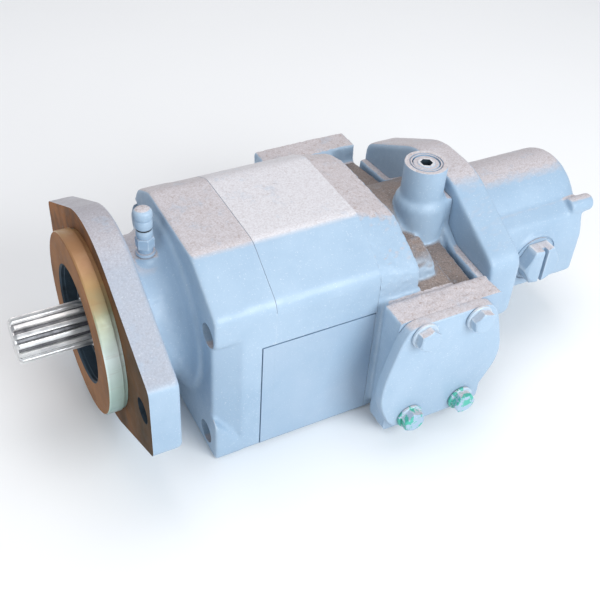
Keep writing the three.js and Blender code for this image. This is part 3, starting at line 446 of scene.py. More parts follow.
def settle(piece: bpy.types.Object) -> None:
    """Turns a piece's modifiers into its mesh."""
    graph = bpy.context.evaluated_depsgraph_get()
    made = bpy.data.meshes.new_from_object(piece.evaluated_get(graph))
    old = piece.data
    piece.modifiers.clear()
    piece.data = made
    made.name = piece.name
    bpy.data.meshes.remove(old)


def carve(piece: bpy.types.Object, cutters: Sequence[Shell]) -> None:
    """Cuts shells out of a piece, one after another.

    Args:
        piece: The piece to cut.
        cutters: The shells to take away.
    """
    tools = [to_object(f"{piece.name}_cutter_{i}", c) for i, c in enumerate(cutters)]
    for tool in tools:
        cut = piece.modifiers.new("cut", "BOOLEAN")
        cut.operation = "DIFFERENCE"
        cut.solver = "MANIFOLD"
        cut.object = tool
    settle(piece)
    for tool in tools:
        mesh = tool.data
        bpy.data.objects.remove(tool)
        bpy.data.meshes.remove(mesh)


def shade(piece: bpy.types.Object, angle: float = 38) -> None:
    """Smooth shading with edges sharper than an angle, in degrees, kept crisp."""
    mesh = piece.data
    mesh.polygons.foreach_set("use_smooth", np.ones(len(mesh.polygons), bool))
    mesh.set_sharp_from_angle(angle=math.radians(angle))


def machined(mesh: bpy.types.Mesh) -> Points:
    """Mask of a casting's broad flat faces, which a cutter left square to one of the three axes."""
    area = np.zeros(len(mesh.polygons), np.float32)
    mesh.polygons.foreach_get("area", area)
    square = np.abs(face_centres(mesh)[1]).max(axis=1) > 0.9995
    return square & (area > BROAD_FACE * MM * MM)


Roughness = Callable[[Points], Points]


def even(points: Points) -> Points:
    """The same casting roughness everywhere."""
    return np.ones(len(points))


@dataclass
class Casting:
    """A sand casting: shells run together, edges rounded, skin roughened, then machined.

    Attributes:
        name: The piece's name.
        grain: Distance between points of its skin.
        rounding: Rounds of easing, which sets how round the edges are.
        depth: Height of the skin's lumps.
        rough: Share of that height at each point.
        seed: Seed of the lumps.
    """

    name: str
    grain: float = 1.4
    rounding: int = 12
    depth: float = 0.16
    rough: Roughness = even
    seed: int = 1

    def pour(self, shells: Sequence[Shell], cutters: Sequence[Shell]) -> bpy.types.Object:
        """Makes the casting.

        The skin moves along its normals by depth times a mix of three noises, 7, 3.2 and 1.7 mm apart.

        Args:
            shells: What the casting is made of; they may overlap.
            cutters: What is machined away.

        Returns:
            The finished object.
        """
        piece = to_object(self.name, Shell.joined(shells))
        skin = piece.modifiers.new("skin", "REMESH")
        skin.mode = "VOXEL"
        skin.voxel_size = self.grain * MM
        settle(piece)
        mesh = piece.data
        points = relaxed(mesh_points(mesh), mesh_edges(mesh), self.rounding)
        mesh.vertices.foreach_set("co", (points * MM).astype(np.float32).ravel())
        mesh.update()
        lumps = (0.5 * lattice_noise(points, 7.0, self.seed) + 0.8 * lattice_noise(points, 3.2, self.seed + 1)
                 + 0.5 * lattice_noise(points, 1.7, self.seed + 2))
        moved = points + mesh_normals(mesh) * (self.depth * self.rough(points) * lumps)[:, None]
        mesh.vertices.foreach_set("co", (moved * MM).astype(np.float32).ravel())
        mesh.update()
        if cutters:
            carve(piece, cutters)
        shade(piece)
        mesh = piece.data
        mesh.polygons.foreach_set("use_smooth", ~machined(mesh))
        return piece


# ---- finishes ----
class Shader:
    """A material's node tree, with short ways to add what the finishes share."""

    def __init__(self, name: str) -> None:
        """Starts a material with one Principled shader.

        Args:
            name: The material's name.
        """
        self.material = bpy.data.materials.new(name)
        self.material.use_nodes = True
        self.tree = self.material.node_tree
        self.surface = self.tree.nodes["Principled BSDF"]
        self.place = self.tree.nodes.new("ShaderNodeTexCoord").outputs["Object"]

    def set(self, **values: float | Colour) -> None:
        """Sets constants on the shader's own sockets; an underscore in a name stands for a space."""
        for name, value in values.items():
            socket = self.surface.inputs[name.replace("_", " ")]
            socket.default_value = (*value, 1.0) if isinstance(value, tuple) else value

    def noise(self, scale: float, detail: float = 3, roughness: float = 0.5,
              stretch: Colour = (1, 1, 1)) -> bpy.types.NodeSocket:
        """Noise over the object's own coordinates.

        Args:
            scale: Lumps for each metre, roughly.
            detail: Octaves.
            roughness: Weight of the finer octaves.
            stretch: Factors on the three coordinates.

        Returns:
            The noise's value.
        """
        mapping = self.tree.nodes.new("ShaderNodeMapping")
        mapping.inputs["Scale"].default_value = stretch
        self.tree.links.new(self.place, mapping.inputs["Vector"])
        made = self.tree.nodes.new("ShaderNodeTexNoise")
        made.inputs["Scale"].default_value = scale
        made.inputs["Detail"].default_value = detail
        made.inputs["Roughness"].default_value = roughness
        self.tree.links.new(mapping.outputs["Vector"], made.inputs["Vector"])
        return made.outputs["Fac"]

    def ramp(self, value: bpy.types.NodeSocket, stops: Sequence[tuple[float, Colour | float]]
             ) -> bpy.types.NodeSocket:
        """A colour or a grey for each value, by straight lines between stops.

        Args:
            value: What the ramp reads.
            stops: Pairs of a place from 0 to 1 and a colour or a grey.

        Returns:
            The ramp's colour.
        """
        made = self.tree.nodes.new("ShaderNodeValToRGB")
        points = made.color_ramp.elements
        while len(points) < len(stops):
            points.new(0.5)
        for point, (where, colour) in zip(points, stops):
            point.position = where
            rgb = colour if isinstance(colour, tuple) else (colour,) * 3
            point.color = (*rgb, 1.0)
        self.tree.links.new(value, made.inputs["Fac"])
        return made.outputs["Color"]

    def mix(self, share: bpy.types.NodeSocket | float, first: bpy.types.NodeSocket | Colour,
            second: bpy.types.NodeSocket | Colour, blend: str = "MIX") -> bpy.types.NodeSocket:
        """Two colours mixed.

        Args:
            share: How much of the second.
            first: A colour or a socket.
            second: A colour or a socket.
            blend: How they mix.

        Returns:
            The mixed colour.
        """
        made = self.tree.nodes.new("ShaderNodeMix")
        made.data_type = "RGBA"
        made.blend_type = blend
        for socket, value in ((made.inputs[0], share), (made.inputs[6], first), (made.inputs[7], second)):
            if isinstance(value, bpy.types.NodeSocket):
                self.tree.links.new(value, socket)
            else:
                socket.default_value = (*value, 1.0) if isinstance(value, tuple) else value
        return made.outputs[2]

    def sum(self, first: bpy.types.NodeSocket | float, second: bpy.types.NodeSocket | float,
            kind: str = "ADD") -> bpy.types.NodeSocket:
        """Two numbers put together by a Math node of a kind."""
        made = self.tree.nodes.new("ShaderNodeMath")
        made.operation = kind
        for socket, value in zip(made.inputs, (first, second)):
            if isinstance(value, bpy.types.NodeSocket):
                self.tree.links.new(value, socket)
            else:
                socket.default_value = value
        return made.outputs[0]

    def part_of(self, vector: bpy.types.NodeSocket, letter: str) -> bpy.types.NodeSocket:
        """One coordinate of a vector."""
        made = self.tree.nodes.new("ShaderNodeSeparateXYZ")
        self.tree.links.new(vector, made.inputs[0])
        return made.outputs[letter]

    def geometry(self, name: str) -> bpy.types.NodeSocket:
        """A named output of the Geometry node."""
        return self.tree.nodes.new("ShaderNodeNewGeometry").outputs[name]

    def span(self, value: bpy.types.NodeSocket, low_end: float, high_end: float) -> bpy.types.NodeSocket:
        """A value spread from 0 at the low end to 1 at the high end and held there."""
        made = self.tree.nodes.new("ShaderNodeMapRange")
        made.inputs["From Min"].default_value = low_end
        made.inputs["From Max"].default_value = high_end
        self.tree.links.new(value, made.inputs["Value"])
        return made.outputs["Result"]

    def colour(self, value: bpy.types.NodeSocket) -> None:
        """Links the surface's colour."""
        self.tree.links.new(value, self.surface.inputs["Base Color"])

    def roughness(self, value: bpy.types.NodeSocket) -> None:
        """Links the surface's roughness."""
        self.tree.links.new(value, self.surface.inputs["Roughness"])

    def bump(self, *heights: tuple[bpy.types.NodeSocket, float, float]) -> None:
        """Chains bumps, each a height socket, a strength and a distance in metres."""
        last = None
        for height, strength, distance in heights:
            made = self.tree.nodes.new("ShaderNodeBump")
            made.inputs["Strength"].default_value = strength
            made.inputs["Distance"].default_value = distance
            self.tree.links.new(height, made.inputs["Height"])
            if last:
                self.tree.links.new(last, made.inputs["Normal"])
            last = made.outputs["Normal"]
        self.tree.links.new(last, self.surface.inputs["Normal"])


@dataclass(frozen=True)
class Enamel:
    """Light enamel sprayed on a casting: worn edges, painted shade in hollows, dust and painted top light
    facing up.

    Attributes:
        name: The material's name.
        body: The enamel's colour.
        shade: Its colour where the coat is thick.
        dust_and_top_light: The colour on faces that look up: light dust and overspray, plus painted warm top
            light.
        soot: The dark colour mottled into it.
        dust_and_light_share: How much of that upward colour there is.
        grime: How strong the brown grime specks in the upward colour are.
        grain: Depth of the fine skin, in metres.
        dust_and_light_start: How far up a face may look before it takes dust and painted top light.
        dust_and_light_full: How far up it looks where both are full.
        dab: Share of the surface dabbed with marker paint.
        edge_wear_and_corner_shade: How far the coat is worn pale on edges and darkened by painted shade in
            hollow corners.
    """

    name: str
    body: Colour = (0.362, 0.475, 0.595)
    shade: Colour = (0.30, 0.415, 0.54)
    dust_and_top_light: Colour = (0.57, 0.53, 0.55)
    soot: Colour = (0.42, 0.36, 0.35)
    dust_and_light_share: float = 0.95
    grime: float = 0.45
    grain: float = 0.0003
    dust_and_light_start: float = 0.72
    dust_and_light_full: float = 0.88
    dab: float = 0.0
    edge_wear_and_corner_shade: float = 0.45

    def make(self) -> bpy.types.Material:
        """The material."""
        shader = Shader(self.name)
        cloud = shader.ramp(shader.noise(14, 4, 0.6), [(0.35, self.shade), (0.65, self.body)])
        normal = shader.geometry("Normal")
        # Faces turned up, and partly those turned to the far side (+Y), take a light tint: real dust plus
        # painted warm top light.
        far_side_light_lean = shader.sum(shader.part_of(normal, "Y"), 0.35, "MULTIPLY")
        up = shader.span(shader.sum(shader.part_of(normal, "Z"), far_side_light_lean), self.dust_and_light_start, self.dust_and_light_full)
        patch = shader.sum(shader.span(shader.noise(60, 5, 0.7), 0.05, 0.45), self.dust_and_light_share, "MULTIPLY")
        # The upward colour: mottled dust with painted top light, flecked with brown grime.
        dust_and_light_mottle = shader.ramp(shader.noise(850, 3, 0.7), [(0.32, self.soot), (0.60, self.dust_and_top_light)])
        brown = shader.span(shader.noise(330, 4, 0.65), 0.56, 0.74)
        dust_light_and_grime = shader.mix(shader.sum(brown, self.grime, "MULTIPLY"), dust_and_light_mottle, BROWN_GRIME)
        dusted_and_top_lit = shader.mix(shader.sum(up, patch, "MULTIPLY"), cloud, dust_light_and_grime)
        speck = shader.span(shader.noise(900, 2, 0.6), 0.62, 0.72)
        light = shader.mix(shader.sum(speck, 0.35, "MULTIPLY"), dusted_and_top_lit, PALE_SPECK)
        worn = shader.span(shader.geometry("Pointiness"), 0.53, 0.60)
        edge = shader.mix(shader.sum(worn, self.edge_wear_and_corner_shade, "MULTIPLY"), light, WORN_EDGE)
        # Painted shade: hollow corners (low pointiness) darken towards a deep blue.
        corner_shade = shader.span(shader.geometry("Pointiness"), 0.47, 0.40)
        deep = shader.mix(shader.sum(corner_shade, self.edge_wear_and_corner_shade, "MULTIPLY"), edge, PAINTED_CORNER_SHADE)
        marked = shader.sum(shader.span(shader.noise(170, 3, 0.6), 0.50, 0.54), self.dab, "MULTIPLY")
        shader.colour(shader.mix(marked, deep, MARKER_GREEN))
        shader.roughness(shader.ramp(shader.noise(120, 3), [(0.3, 0.36), (0.7, 0.55)]))
        shader.set(Specular_IOR_Level=0.5, Coat_Weight=0.12, Coat_Roughness=0.25)
        shader.bump((shader.noise(260, 3, 0.6), 0.35, self.grain),
                    (shader.noise(1300, 2), 0.18, self.grain / 3))
        return shader.material


@dataclass(frozen=True)
class BareSteel:
    """Machined steel with turning marks round the shaft's axis and faint stains.

    Attributes:
        name: The material's name.
        light: The metal's bright colour.
        dark: Its stained colour.
        gloss: Roughness where it is brightest.
        marks: Lathe marks for each metre.
    """

    name: str
    light: Colour = (0.78, 0.78, 0.77)
    dark: Colour = (0.52, 0.52, 0.53)
    gloss: float = 0.3
    marks: float = 900

    def make(self) -> bpy.types.Material:
        """The material."""
        shader = Shader(self.name)
        stain = shader.noise(70, 5, 0.65)
        shader.colour(shader.ramp(stain, [(0.35, self.dark), (0.6, self.light)]))
        shader.roughness(shader.ramp(shader.noise(240, 4), [(0.3, self.gloss), (0.75, self.gloss + 0.2)]))
        shader.set(Metallic=1.0)
        shader.bump((shader.noise(self.marks, 2, 0.5, (1, 0.06, 0.06)), 0.05, 0.00005))
        return shader.material


@dataclass(frozen=True)
class OiledPilotWithHighlight:
    """A machined rim under old rust preventer: brown above, olive, a pale painted highlight, teal below.

    Attributes:
        name: The material's name.
        height: Half the rim's height, in metres.
    """

    name: str
    height: float = 0.0635

    def make(self) -> bpy.types.Material:
        """The material."""
        shader = Shader(self.name)
        tall = shader.span(shader.part_of(shader.place, "Z"), self.height, -self.height)
        waver = shader.sum(shader.sum(shader.noise(40, 4), -0.5, "ADD"), 0.22, "MULTIPLY")
        blur = shader.sum(tall, waver, "ADD")
        # Colour by height: rust-preventer stains, with the pale stop at 0.34 a painted highlight band.
        band = shader.ramp(blur, [(0.0, (0.34, 0.17, 0.07)), (0.09, (0.42, 0.26, 0.11)),
                                  (0.17, (0.30, 0.30, 0.18)), (0.25, (0.52, 0.60, 0.50)),
                                  (0.34, (0.78, 0.90, 0.87)), (0.52, (0.52, 0.69, 0.62)),
                                  (0.74, (0.34, 0.50, 0.45)), (0.94, (0.09, 0.14, 0.14))])
        streak = shader.span(shader.noise(160, 4, 0.7, (0.15, 1, 1)), 0.55, 0.8)
        shader.colour(shader.mix(shader.sum(streak, 0.4, "MULTIPLY"), band, RUST_STREAK))
        shader.roughness(shader.ramp(shader.noise(200, 4), [(0.3, 0.28), (0.7, 0.45)]))
        shader.set(Metallic=0.15, Specular_IOR_Level=0.5)
        shader.bump((shader.noise(1200, 2, 0.5, (1, 0.05, 0.05)), 0.25, 0.00006))
        return shader.material


@dataclass(frozen=True)
class StainedFace:
    """A machined face darkened by oil and rust preventer, in two browns with spots of the bare metal.

    Attributes:
        name: The material's name.
        light: The lighter brown.
        dark: The darker brown.
        spot: The colour of the spots.
        metal: How metallic it is.
        dull: Roughness where it is glossiest.
        near_darkening: How far its near end is darkened.
    """

    name: str
    light: Colour = (0.32, 0.135, 0.052)
    dark: Colour = (0.12, 0.062, 0.033)
    spot: Colour = (0.36, 0.28, 0.19)
    metal: float = 0.0
    dull: float = 0.65
    near_darkening: float = 0.0

    def make(self) -> bpy.types.Material:
        """The material."""
        shader = Shader(self.name)
        base = shader.ramp(shader.noise(38, 5, 0.65), [(0.35, self.dark), (0.62, self.light)])
        spots = shader.span(shader.noise(210, 3, 0.6), 0.66, 0.76)
        spotted = shader.mix(shader.sum(spots, 0.6, "MULTIPLY"), base, self.spot)
        near = shader.span(shader.part_of(shader.place, "Y"), 0.02, -0.09)
        shader.colour(shader.mix(shader.sum(near, self.near_darkening, "MULTIPLY"), spotted, NEAR_END_DARK))
        shader.roughness(shader.ramp(shader.noise(150, 3), [(0.3, self.dull), (0.7, self.dull + 0.2)]))
        shader.set(Metallic=self.metal, Specular_IOR_Level=0.18)
        shader.bump((shader.noise(700, 2, 0.5), 0.2, 0.00006))
        return shader.material


@dataclass(frozen=True)
class Matt:
    """Rubber or a pale floor: one soft colour with a slight mottle.

    Attributes:
        name: The material's name.
        colour: Its colour.
        roughness: Its roughness.
        mottle: How far the colour strays, as a share.
        scale: Mottles for each metre.
    """

    name: str
    colour: Colour = (0.02, 0.02, 0.022)
    roughness: float = 0.7
    mottle: float = 0.25
    scale: float = 180

    def make(self) -> bpy.types.Material:
        """The material."""
        shader = Shader(self.name)
        deep = tuple(c * (1 - self.mottle) for c in self.colour)
        field_noise = shader.noise(self.scale, 3)
        shader.colour(shader.ramp(field_noise, [(0.3, deep), (0.7, self.colour)]))
        shader.set(Roughness=self.roughness)
        shader.bump((field_noise, 0.1, 0.0001))
        return shader.material


class Finish(Enum):
    """Every finish on the pump."""

    PAINT = Enamel("enamel")
    ROUGH_PAINT = Enamel("enamel_rough", dust_and_light_share=1.0, grime=0.8, grain=0.0006)
    FLAT_PAINT = Enamel("enamel_flat", (0.355, 0.455, 0.57), edge_wear_and_corner_shade=0.0)
    BRIGHT_PAINT = Enamel("enamel_bright", dust_and_top_light=(0.68, 0.66, 0.68), soot=(0.54, 0.50, 0.51), grime=0.3)
    RIM_PAINT = Enamel("enamel_rim", dust_and_top_light=(0.44, 0.42, 0.45), soot=(0.33, 0.30, 0.32), dust_and_light_start=0.15, dust_and_light_full=0.95)
    # Pocket paint: darker blue as painted shade in the valve block's pocket, with brown grime on its upward
    # faces.
    POCKET_SHADE = Enamel("enamel_pocket_shade", (0.35, 0.45, 0.56), (0.25, 0.33, 0.42), (0.25, 0.19, 0.16),
                    (0.13, 0.09, 0.07), grime=1.0, grain=0.0009, dust_and_light_start=0.3)
    # Dark blue painted shadow for the panel's corner grooves.
    LINE = StainedFace("panel_line_shadow", (0.23, 0.32, 0.43), (0.17, 0.25, 0.35), (0.26, 0.35, 0.44))
    DABBED = Enamel("enamel_dabbed", dab=0.9)
    STEEL = BareSteel("ground_steel")
    DARK_STEEL = BareSteel("oiled_steel", (0.22, 0.22, 0.23), (0.10, 0.10, 0.11), 0.35)
    BRONZE = BareSteel("bearing_bronze", (0.70, 0.47, 0.22), (0.45, 0.29, 0.14), 0.3)
    IRON = BareSteel("machined_iron", (0.36, 0.36, 0.36), (0.24, 0.24, 0.24), 0.45)
    PILOT = OiledPilotWithHighlight("pilot_rim")
    PILOT_FACE = StainedFace("pilot_face", (0.33, 0.16, 0.075), (0.20, 0.10, 0.05), (0.42, 0.26, 0.15))
    FLANGE_FACE = StainedFace("flange_face", near_darkening=0.75)
    # Dark oiled bore metal, made near black as painted shade inside bores, holes and sockets.
    BORE_SHADE = StainedFace("bore_wall_shade", (0.06, 0.09, 0.12), (0.02, 0.03, 0.04), (0.12, 0.16, 0.2), 0.3, 0.5)
    RUBBER = Matt("nitrile")

    def material(self) -> bpy.types.Material:
        """The finish's material, made once."""
        return bpy.data.materials.get(self.value.name) or self.value.make()


def dress(piece: bpy.types.Object, *finishes: Finish) -> None:
    """Gives a piece its finishes, in the order of its faces' material numbers."""
    piece.data.materials.clear()
    for finish in finishes:
        piece.data.materials.append(finish.material())


def repaint(piece: bpy.types.Object, number: int, where: Callable[[Points, Points], Points]) -> None:
    """Gives some faces another of a piece's finishes.

    Args:
        piece: The piece.
        number: The finish's place in the piece's list.
        where: From face centres, in millimetres, and normals to a mask of the faces.
    """
    mesh = piece.data
    now = np.zeros(len(mesh.polygons), np.int32)
    mesh.polygons.foreach_get("material_index", now)
    now[where(*face_centres(mesh))] = number
    mesh.polygons.foreach_set("material_index", now)


class Body(Enum):
    """The CAD bodies that pieces ride on."""

    HOUSING = "housing"
    ROTOR = "rotor"


def fit_out(piece: bpy.types.Object, body: Body, slot: str, *nodes: str) -> None:
    """Puts a finished piece on its body, in place of its CAD nodes.

    Args:
        piece: The piece.
        body: The body it rides on.
        slot: The record's material slot; not used.
        nodes: The CAD nodes that it stands for.
    """
    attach(piece, body.value)
    if nodes:
        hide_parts(*nodes)
    LOG.info("%s rides on %s and has %d faces", piece.name, body.value, len(piece.data.polygons))


def fit_to_housing(piece: bpy.types.Object, angle: float, finish: Finish, slot: str, *nodes: str) -> None:
    """Shades a piece, gives it one finish and puts it on the housing.

    Args:
        piece: The piece.
        angle: Edges sharper than this, in degrees, stay crisp.
        finish: Its finish.
        slot: The record's material slot.
        nodes: The CAD nodes that it stands for.
    """
    shade(piece, angle)
    dress(piece, finish)
    fit_out(piece, Body.HOUSING, slot, *nodes)


# ---- sub-assemblies ----
@dataclass
class Outline:
    """The boxed body's outline across the shaft, as (Y, Z).

    Attributes:
        near: Near side.
        far: Far side.
        top: Flat top.
        bottom: Underside.
        knee_near: Near edge of the flat top.
        knee_far: Far edge of the flat top.
    """

    near: float = -84
    far: float = 72
    top: float = 71
    bottom: float = -82
    knee_near: float = -46
    knee_far: float = 29

    def corners(self, drop: float = 0) -> Points:
        """The outline with eased corners.

        Args:
            drop: How far its top is lowered.

        Returns:
            An (n, 2) array.
        """
        sharp = [(self.near, self.bottom), (self.far - 14, self.bottom), (self.far, self.bottom + 14),
                 (self.far, 26), (self.far - 20, 59 - drop / 2), (self.knee_far, self.top - drop),
                 (self.knee_near, self.top - drop), (self.near, 46 - drop / 2)]
        return arc_corners(sharp, [5, 6, 6, 12, 10, 6, 5, 7])


BODY = Outline()
SCREWS = [middle(f"housing_bolt_{k}") for k in range(1, 5)]


def body_cuts(start: float, end: float) -> list[Shell]:
    """Cutters for the foot's flat and the four long screws' ways between two places along the shaft."""
    foot = block((start - 30, end + 30), (-130, 130), (-110, BODY.bottom + 0.05))
    return [foot] + [rod(SCREW_WAY, start, end, Axis.X, (s.y, s.z), 32) for s in SCREWS]


@dataclass
class FrontHousing:
    """Flange, pilot, neck and the front of the boxed body.

    Attributes:
        flange: Thickness of the flange.
        neck: Radius of the neck.
        front: Front face of the boxed body.
        seam: Joint to the rear housing.
        pilot: Radius of the pilot.
        bore: Radius of the pilot's bore.
        half_span: Half the flange's length.
        bolt_half: Half the distance between the flange's holes.
        vent: Centre of the vent fitting.
    """

    flange: float = 20
    neck: float = 50
    front: float = 50.5
    seam: float = high("front_housing").x
    pilot: float = 63.5
    bore: float = 40
    half_span: float = high("mounting_flange").y
    bolt_half: float = 90.5
    vent: Vector = field(default_factory=lambda: middle("vent_cap"))

    def flange_outline(self) -> Points:
        """A round plate of radius 76.5 whose two ears run straight off it."""
        ear, ring, spread = 28.0, 76.5, 0.52
        a = np.linspace(math.pi / 2 - spread, math.pi / 2 + spread, 21)
        upper = np.stack([ring * np.cos(a), ring * np.sin(a)], 1)
        sharp = [(self.half_span, -ear), (self.half_span, ear), tuple(upper[0]), tuple(-upper[-1])]
        tip = arc_corners(sharp, [4, 4, 0.1, 0.1])[:14]
        return np.concatenate([tip, upper, -tip, -upper])

    def ears(self) -> list[Shell]:
        """The body's front, whose sides slope in to the neck between an upper and a lower ear."""
        b = BODY
        back = self.front + 19
        lower_front = [(b.near, b.bottom), (b.far - 14, b.bottom), (b.far, b.bottom + 14), (b.far, -44),
                       (60, -40), (-60, -40), (b.near, -45)]
        lower_back = [(b.near, b.bottom), (b.far - 14, b.bottom), (b.far, b.bottom + 14), (b.far, -60),
                      (60, -56), (-60, -56), (b.near, -68)]
        upper = [(b.near, 24), (b.near + 9, 17), (60, 8), (b.far, 16), (b.far, 26), (b.far - 20, 59),
                 (b.knee_far, b.top), (b.knee_near, b.top), (b.near, 46)]
        core_front = [(b.near + 8, -62), (b.far - 8, -62), (b.far - 8, 40), (b.near + 8, 40)]
        core_back = [(b.near + 0.5, -62), (b.far - 0.5, -62), (b.far - 0.5, 30), (b.near + 0.5, 40)]
        return [
            lofted(arc_corners(lower_front, 4), self.front, arc_corners(lower_back, 4), back),
            pushed(arc_corners(upper, 5), self.front, back + 3, edge=1.5, far_edge=0),
            lofted(arc_corners(core_front, 6), self.front + 0.5, arc_corners(core_back, 2), back),
        ]

    def build(self) -> None:
        """Makes the casting and its pilot ring."""
        neck = [(16, 0), (16, self.neck + 5), (self.flange + 2, self.neck + 2), (self.flange + 5, self.neck),
                (self.front - 14, self.neck), (self.front - 9, self.neck + 2),
                (self.front - 5, self.neck + 6.5),
                (self.front - 2.4, self.neck + 13), (self.front + 3, self.neck + 13.6), (self.front + 3, 0)]
        v = self.vent
        shells = [
            pushed(self.flange_outline(), -3, self.flange, edge=0.5, far_edge=3),
            turned(neck, columns=120),
            pushed(BODY.corners(), self.front + 18.5, self.seam + 4, edge=0.5, far_edge=0),
            *self.ears(),
            turned([(30, 0), (30, 9), (46, 9), (50.8, 7.2), (50.8, 0)], Axis.Z, (v.x, v.y), 48),
        ]
        sinks = [rod(SCREW_SINK, self.front - 3, self.front + 18.3, Axis.X, (s.y, s.z), 48) for s in SCREWS]
        cutters = [
            block((-20, -0.02), ACROSS, (-90, 90)),
            block((self.seam, self.seam + 20), ACROSS, (SEAM_SHOWS_ABOVE, UPRIGHT[1])),
            block((self.seam + SEAM_GAP, self.seam + 20), ACROSS,
                  (UPRIGHT[0], SEAM_SHOWS_ABOVE + 0.1)),
            rod(self.pilot - 1, -5, 0.6, columns=128),
            rod(32, -1, 18, columns=96),
            rod(40, 16.7, 59, columns=96),
            rod(BODY_BORE, 58, self.seam + 1, columns=128),
            *[rod(FLANGE_HOLE, -1, self.flange + 1, Axis.X, (side * self.bolt_half, 0), 64)
              for side in (-1, 1)],
            *sinks,
            *body_cuts(self.front, self.seam + 1),
            *panel(),
        ]
        body = Casting("front_casting", 1.3, 5, 0.17, front_roughness, 11).pour(shells, cutters)
        dress(body, Finish.PAINT, Finish.FLANGE_FACE, Finish.BORE_SHADE, Finish.RIM_PAINT, Finish.FLAT_PAINT,
              Finish.LINE)
        flat = machined(body.data)
        repaint(body, 4, lambda c, n: flat)
        # The panel's corner grooves take the painted groove shadow.
        repaint(body, 5, shadowed_panel_grooves)
        repaint(body, 3, lambda c, n: (c[:, 0] < self.flange) & (np.hypot(c[:, 1], c[:, 2]) > self.neck + 8))
        repaint(body, 1, lambda c, n: (c[:, 0] < 0.3) & (n[:, 0] < -0.9))
        # Flange holes and the shaft bore take the near-black bore finish as painted shade.
        repaint(body, 2, lambda c, n: (np.hypot(np.abs(c[:, 1]) - self.bolt_half, c[:, 2]) < 9)
                & (np.abs(n[:, 0]) < 0.5) & (c[:, 0] < self.flange))
        repaint(body, 2, lambda c, n: lining(c, n, BODY_BORE + 0.1))
        fit_out(body, Body.HOUSING, "paint", "mounting_flange", "front_housing")
        self.pilot_ring()

    def pilot_ring(self) -> None:
        """The machined pilot: chamfered rim with a thin groove at its root, and a stepped bore."""
        tip, root = low("mounting_flange").x, 0.5
        profile = [(tip, self.bore + 1.6), (tip, self.pilot - 1.4), (tip + 0.4, self.pilot - 0.6),
                   (tip + 1.3, self.pilot), (-2.6, self.pilot), (-2.3, self.pilot - 0.3),
                   (-2.2, self.pilot - 1.3), (root, self.pilot - 1.3), (root, self.bore - 0.2),
                   (-9.2, self.bore - 0.2), (-9.6, self.bore + 0.4), (tip + 1.2, self.bore + 0.4)]
        ring = to_object("pilot_ring", turned(profile, columns=192))
        shade(ring, 20)
        dress(ring, Finish.PILOT, Finish.PILOT_FACE, Finish.BORE_SHADE)
        repaint(ring, 1, lambda c, n: n[:, 0] < -0.85)
        # The pilot's bore takes the near-black bore finish as painted shade.
        repaint(ring, 2, lambda c, n: lining(c, n, self.bore + 1))
        fit_out(ring, Body.HOUSING, "paint", "mounting_flange")


def lining(centres: Points, normals: Points, radius: float) -> Points:
    """Mask of the faces that line a bore round the shaft: nearer than its radius and facing the axis."""
    inward = np.sum(centres[:, 1:] * normals[:, 1:], axis=1) < -1
    return inward & (np.hypot(centres[:, 1], centres[:, 2]) < radius)


def front_roughness(points: Points) -> Points:
    """Rougher on the near side of the neck, nearly smooth on the boxed body."""
    neck = np.exp(-((points[:, 0] - 34) / 9) ** 2) * (points[:, 2] < 35)
    return 0.35 + 1.1 * neck


def panel() -> list[Shell]:
    """The shallow panel, which runs off the near side's lower and rear edges, and its corner grooves."""
    front, rear, top, floor = 83, 176, 14, BODY.near + 0.6
    return [block((front, rear), (-90, floor), (-90, top)),
            block((front, front + 1.3), (-90, floor + 0.9), (-90, top)),
            block((front, rear), (-90, floor + 0.9), (top - 1.8, top))]


def shadowed_panel_grooves(centres: Points, normals: Points) -> Points:
    """Mask of the faces in the panel's corner grooves, painted dark as the shadow under the panel's edges."""
    sunk = (centres[:, 1] > BODY.near + 0.62) & (centres[:, 1] < BODY.near + 1.6)
    return sunk & (centres[:, 0] > 82.9) & (centres[:, 0] < 177) & (centres[:, 2] < 14.1)


@dataclass
class RearHousing:
    """The rear half of the boxed body, round the cylinder block.

    Attributes:
        start: Joint to the front housing.
        end: Joint to the valve block.
    """

    start: float = low("rear_housing").x
    end: float = high("rear_housing").x

    def build(self) -> None:
        """Makes the casting."""
        shells = [pushed(BODY.corners(), self.start - 4, self.end + 4)]
        cutters = [
            block((self.start - 9, self.start), ACROSS, UPRIGHT),
            block((self.end, self.end + 9), ACROSS, UPRIGHT),
            rod(BODY_BORE, self.start - 2, self.end + 2, columns=128),
            *body_cuts(self.start - 2, self.end + 2),
            *panel(),
        ]
        body = Casting("rear_casting", 1.4, 4, 0.16, rear_roughness, 21).pour(shells, cutters)
        dress(body, Finish.BRIGHT_PAINT, Finish.BORE_SHADE, Finish.FLAT_PAINT, Finish.LINE)
        flat = machined(body.data)
        repaint(body, 2, lambda c, n: flat)
        # The panel's corner grooves take the painted groove shadow.
        repaint(body, 3, shadowed_panel_grooves)
        # The bore takes the near-black bore finish as painted shade.
        repaint(body, 1, lambda c, n: lining(c, n, BODY_BORE + 0.1))
        fit_out(body, Body.HOUSING, "paint", "rear_housing")


def rear_roughness(points: Points) -> Points:
    """Smooth machined-looking sides, rougher towards the valve block and on top."""
    back = np.clip((points[:, 0] - 160) / 6, 0, 1)
    return 0.25 + 1.0 * back * (points[:, 2] > 30)


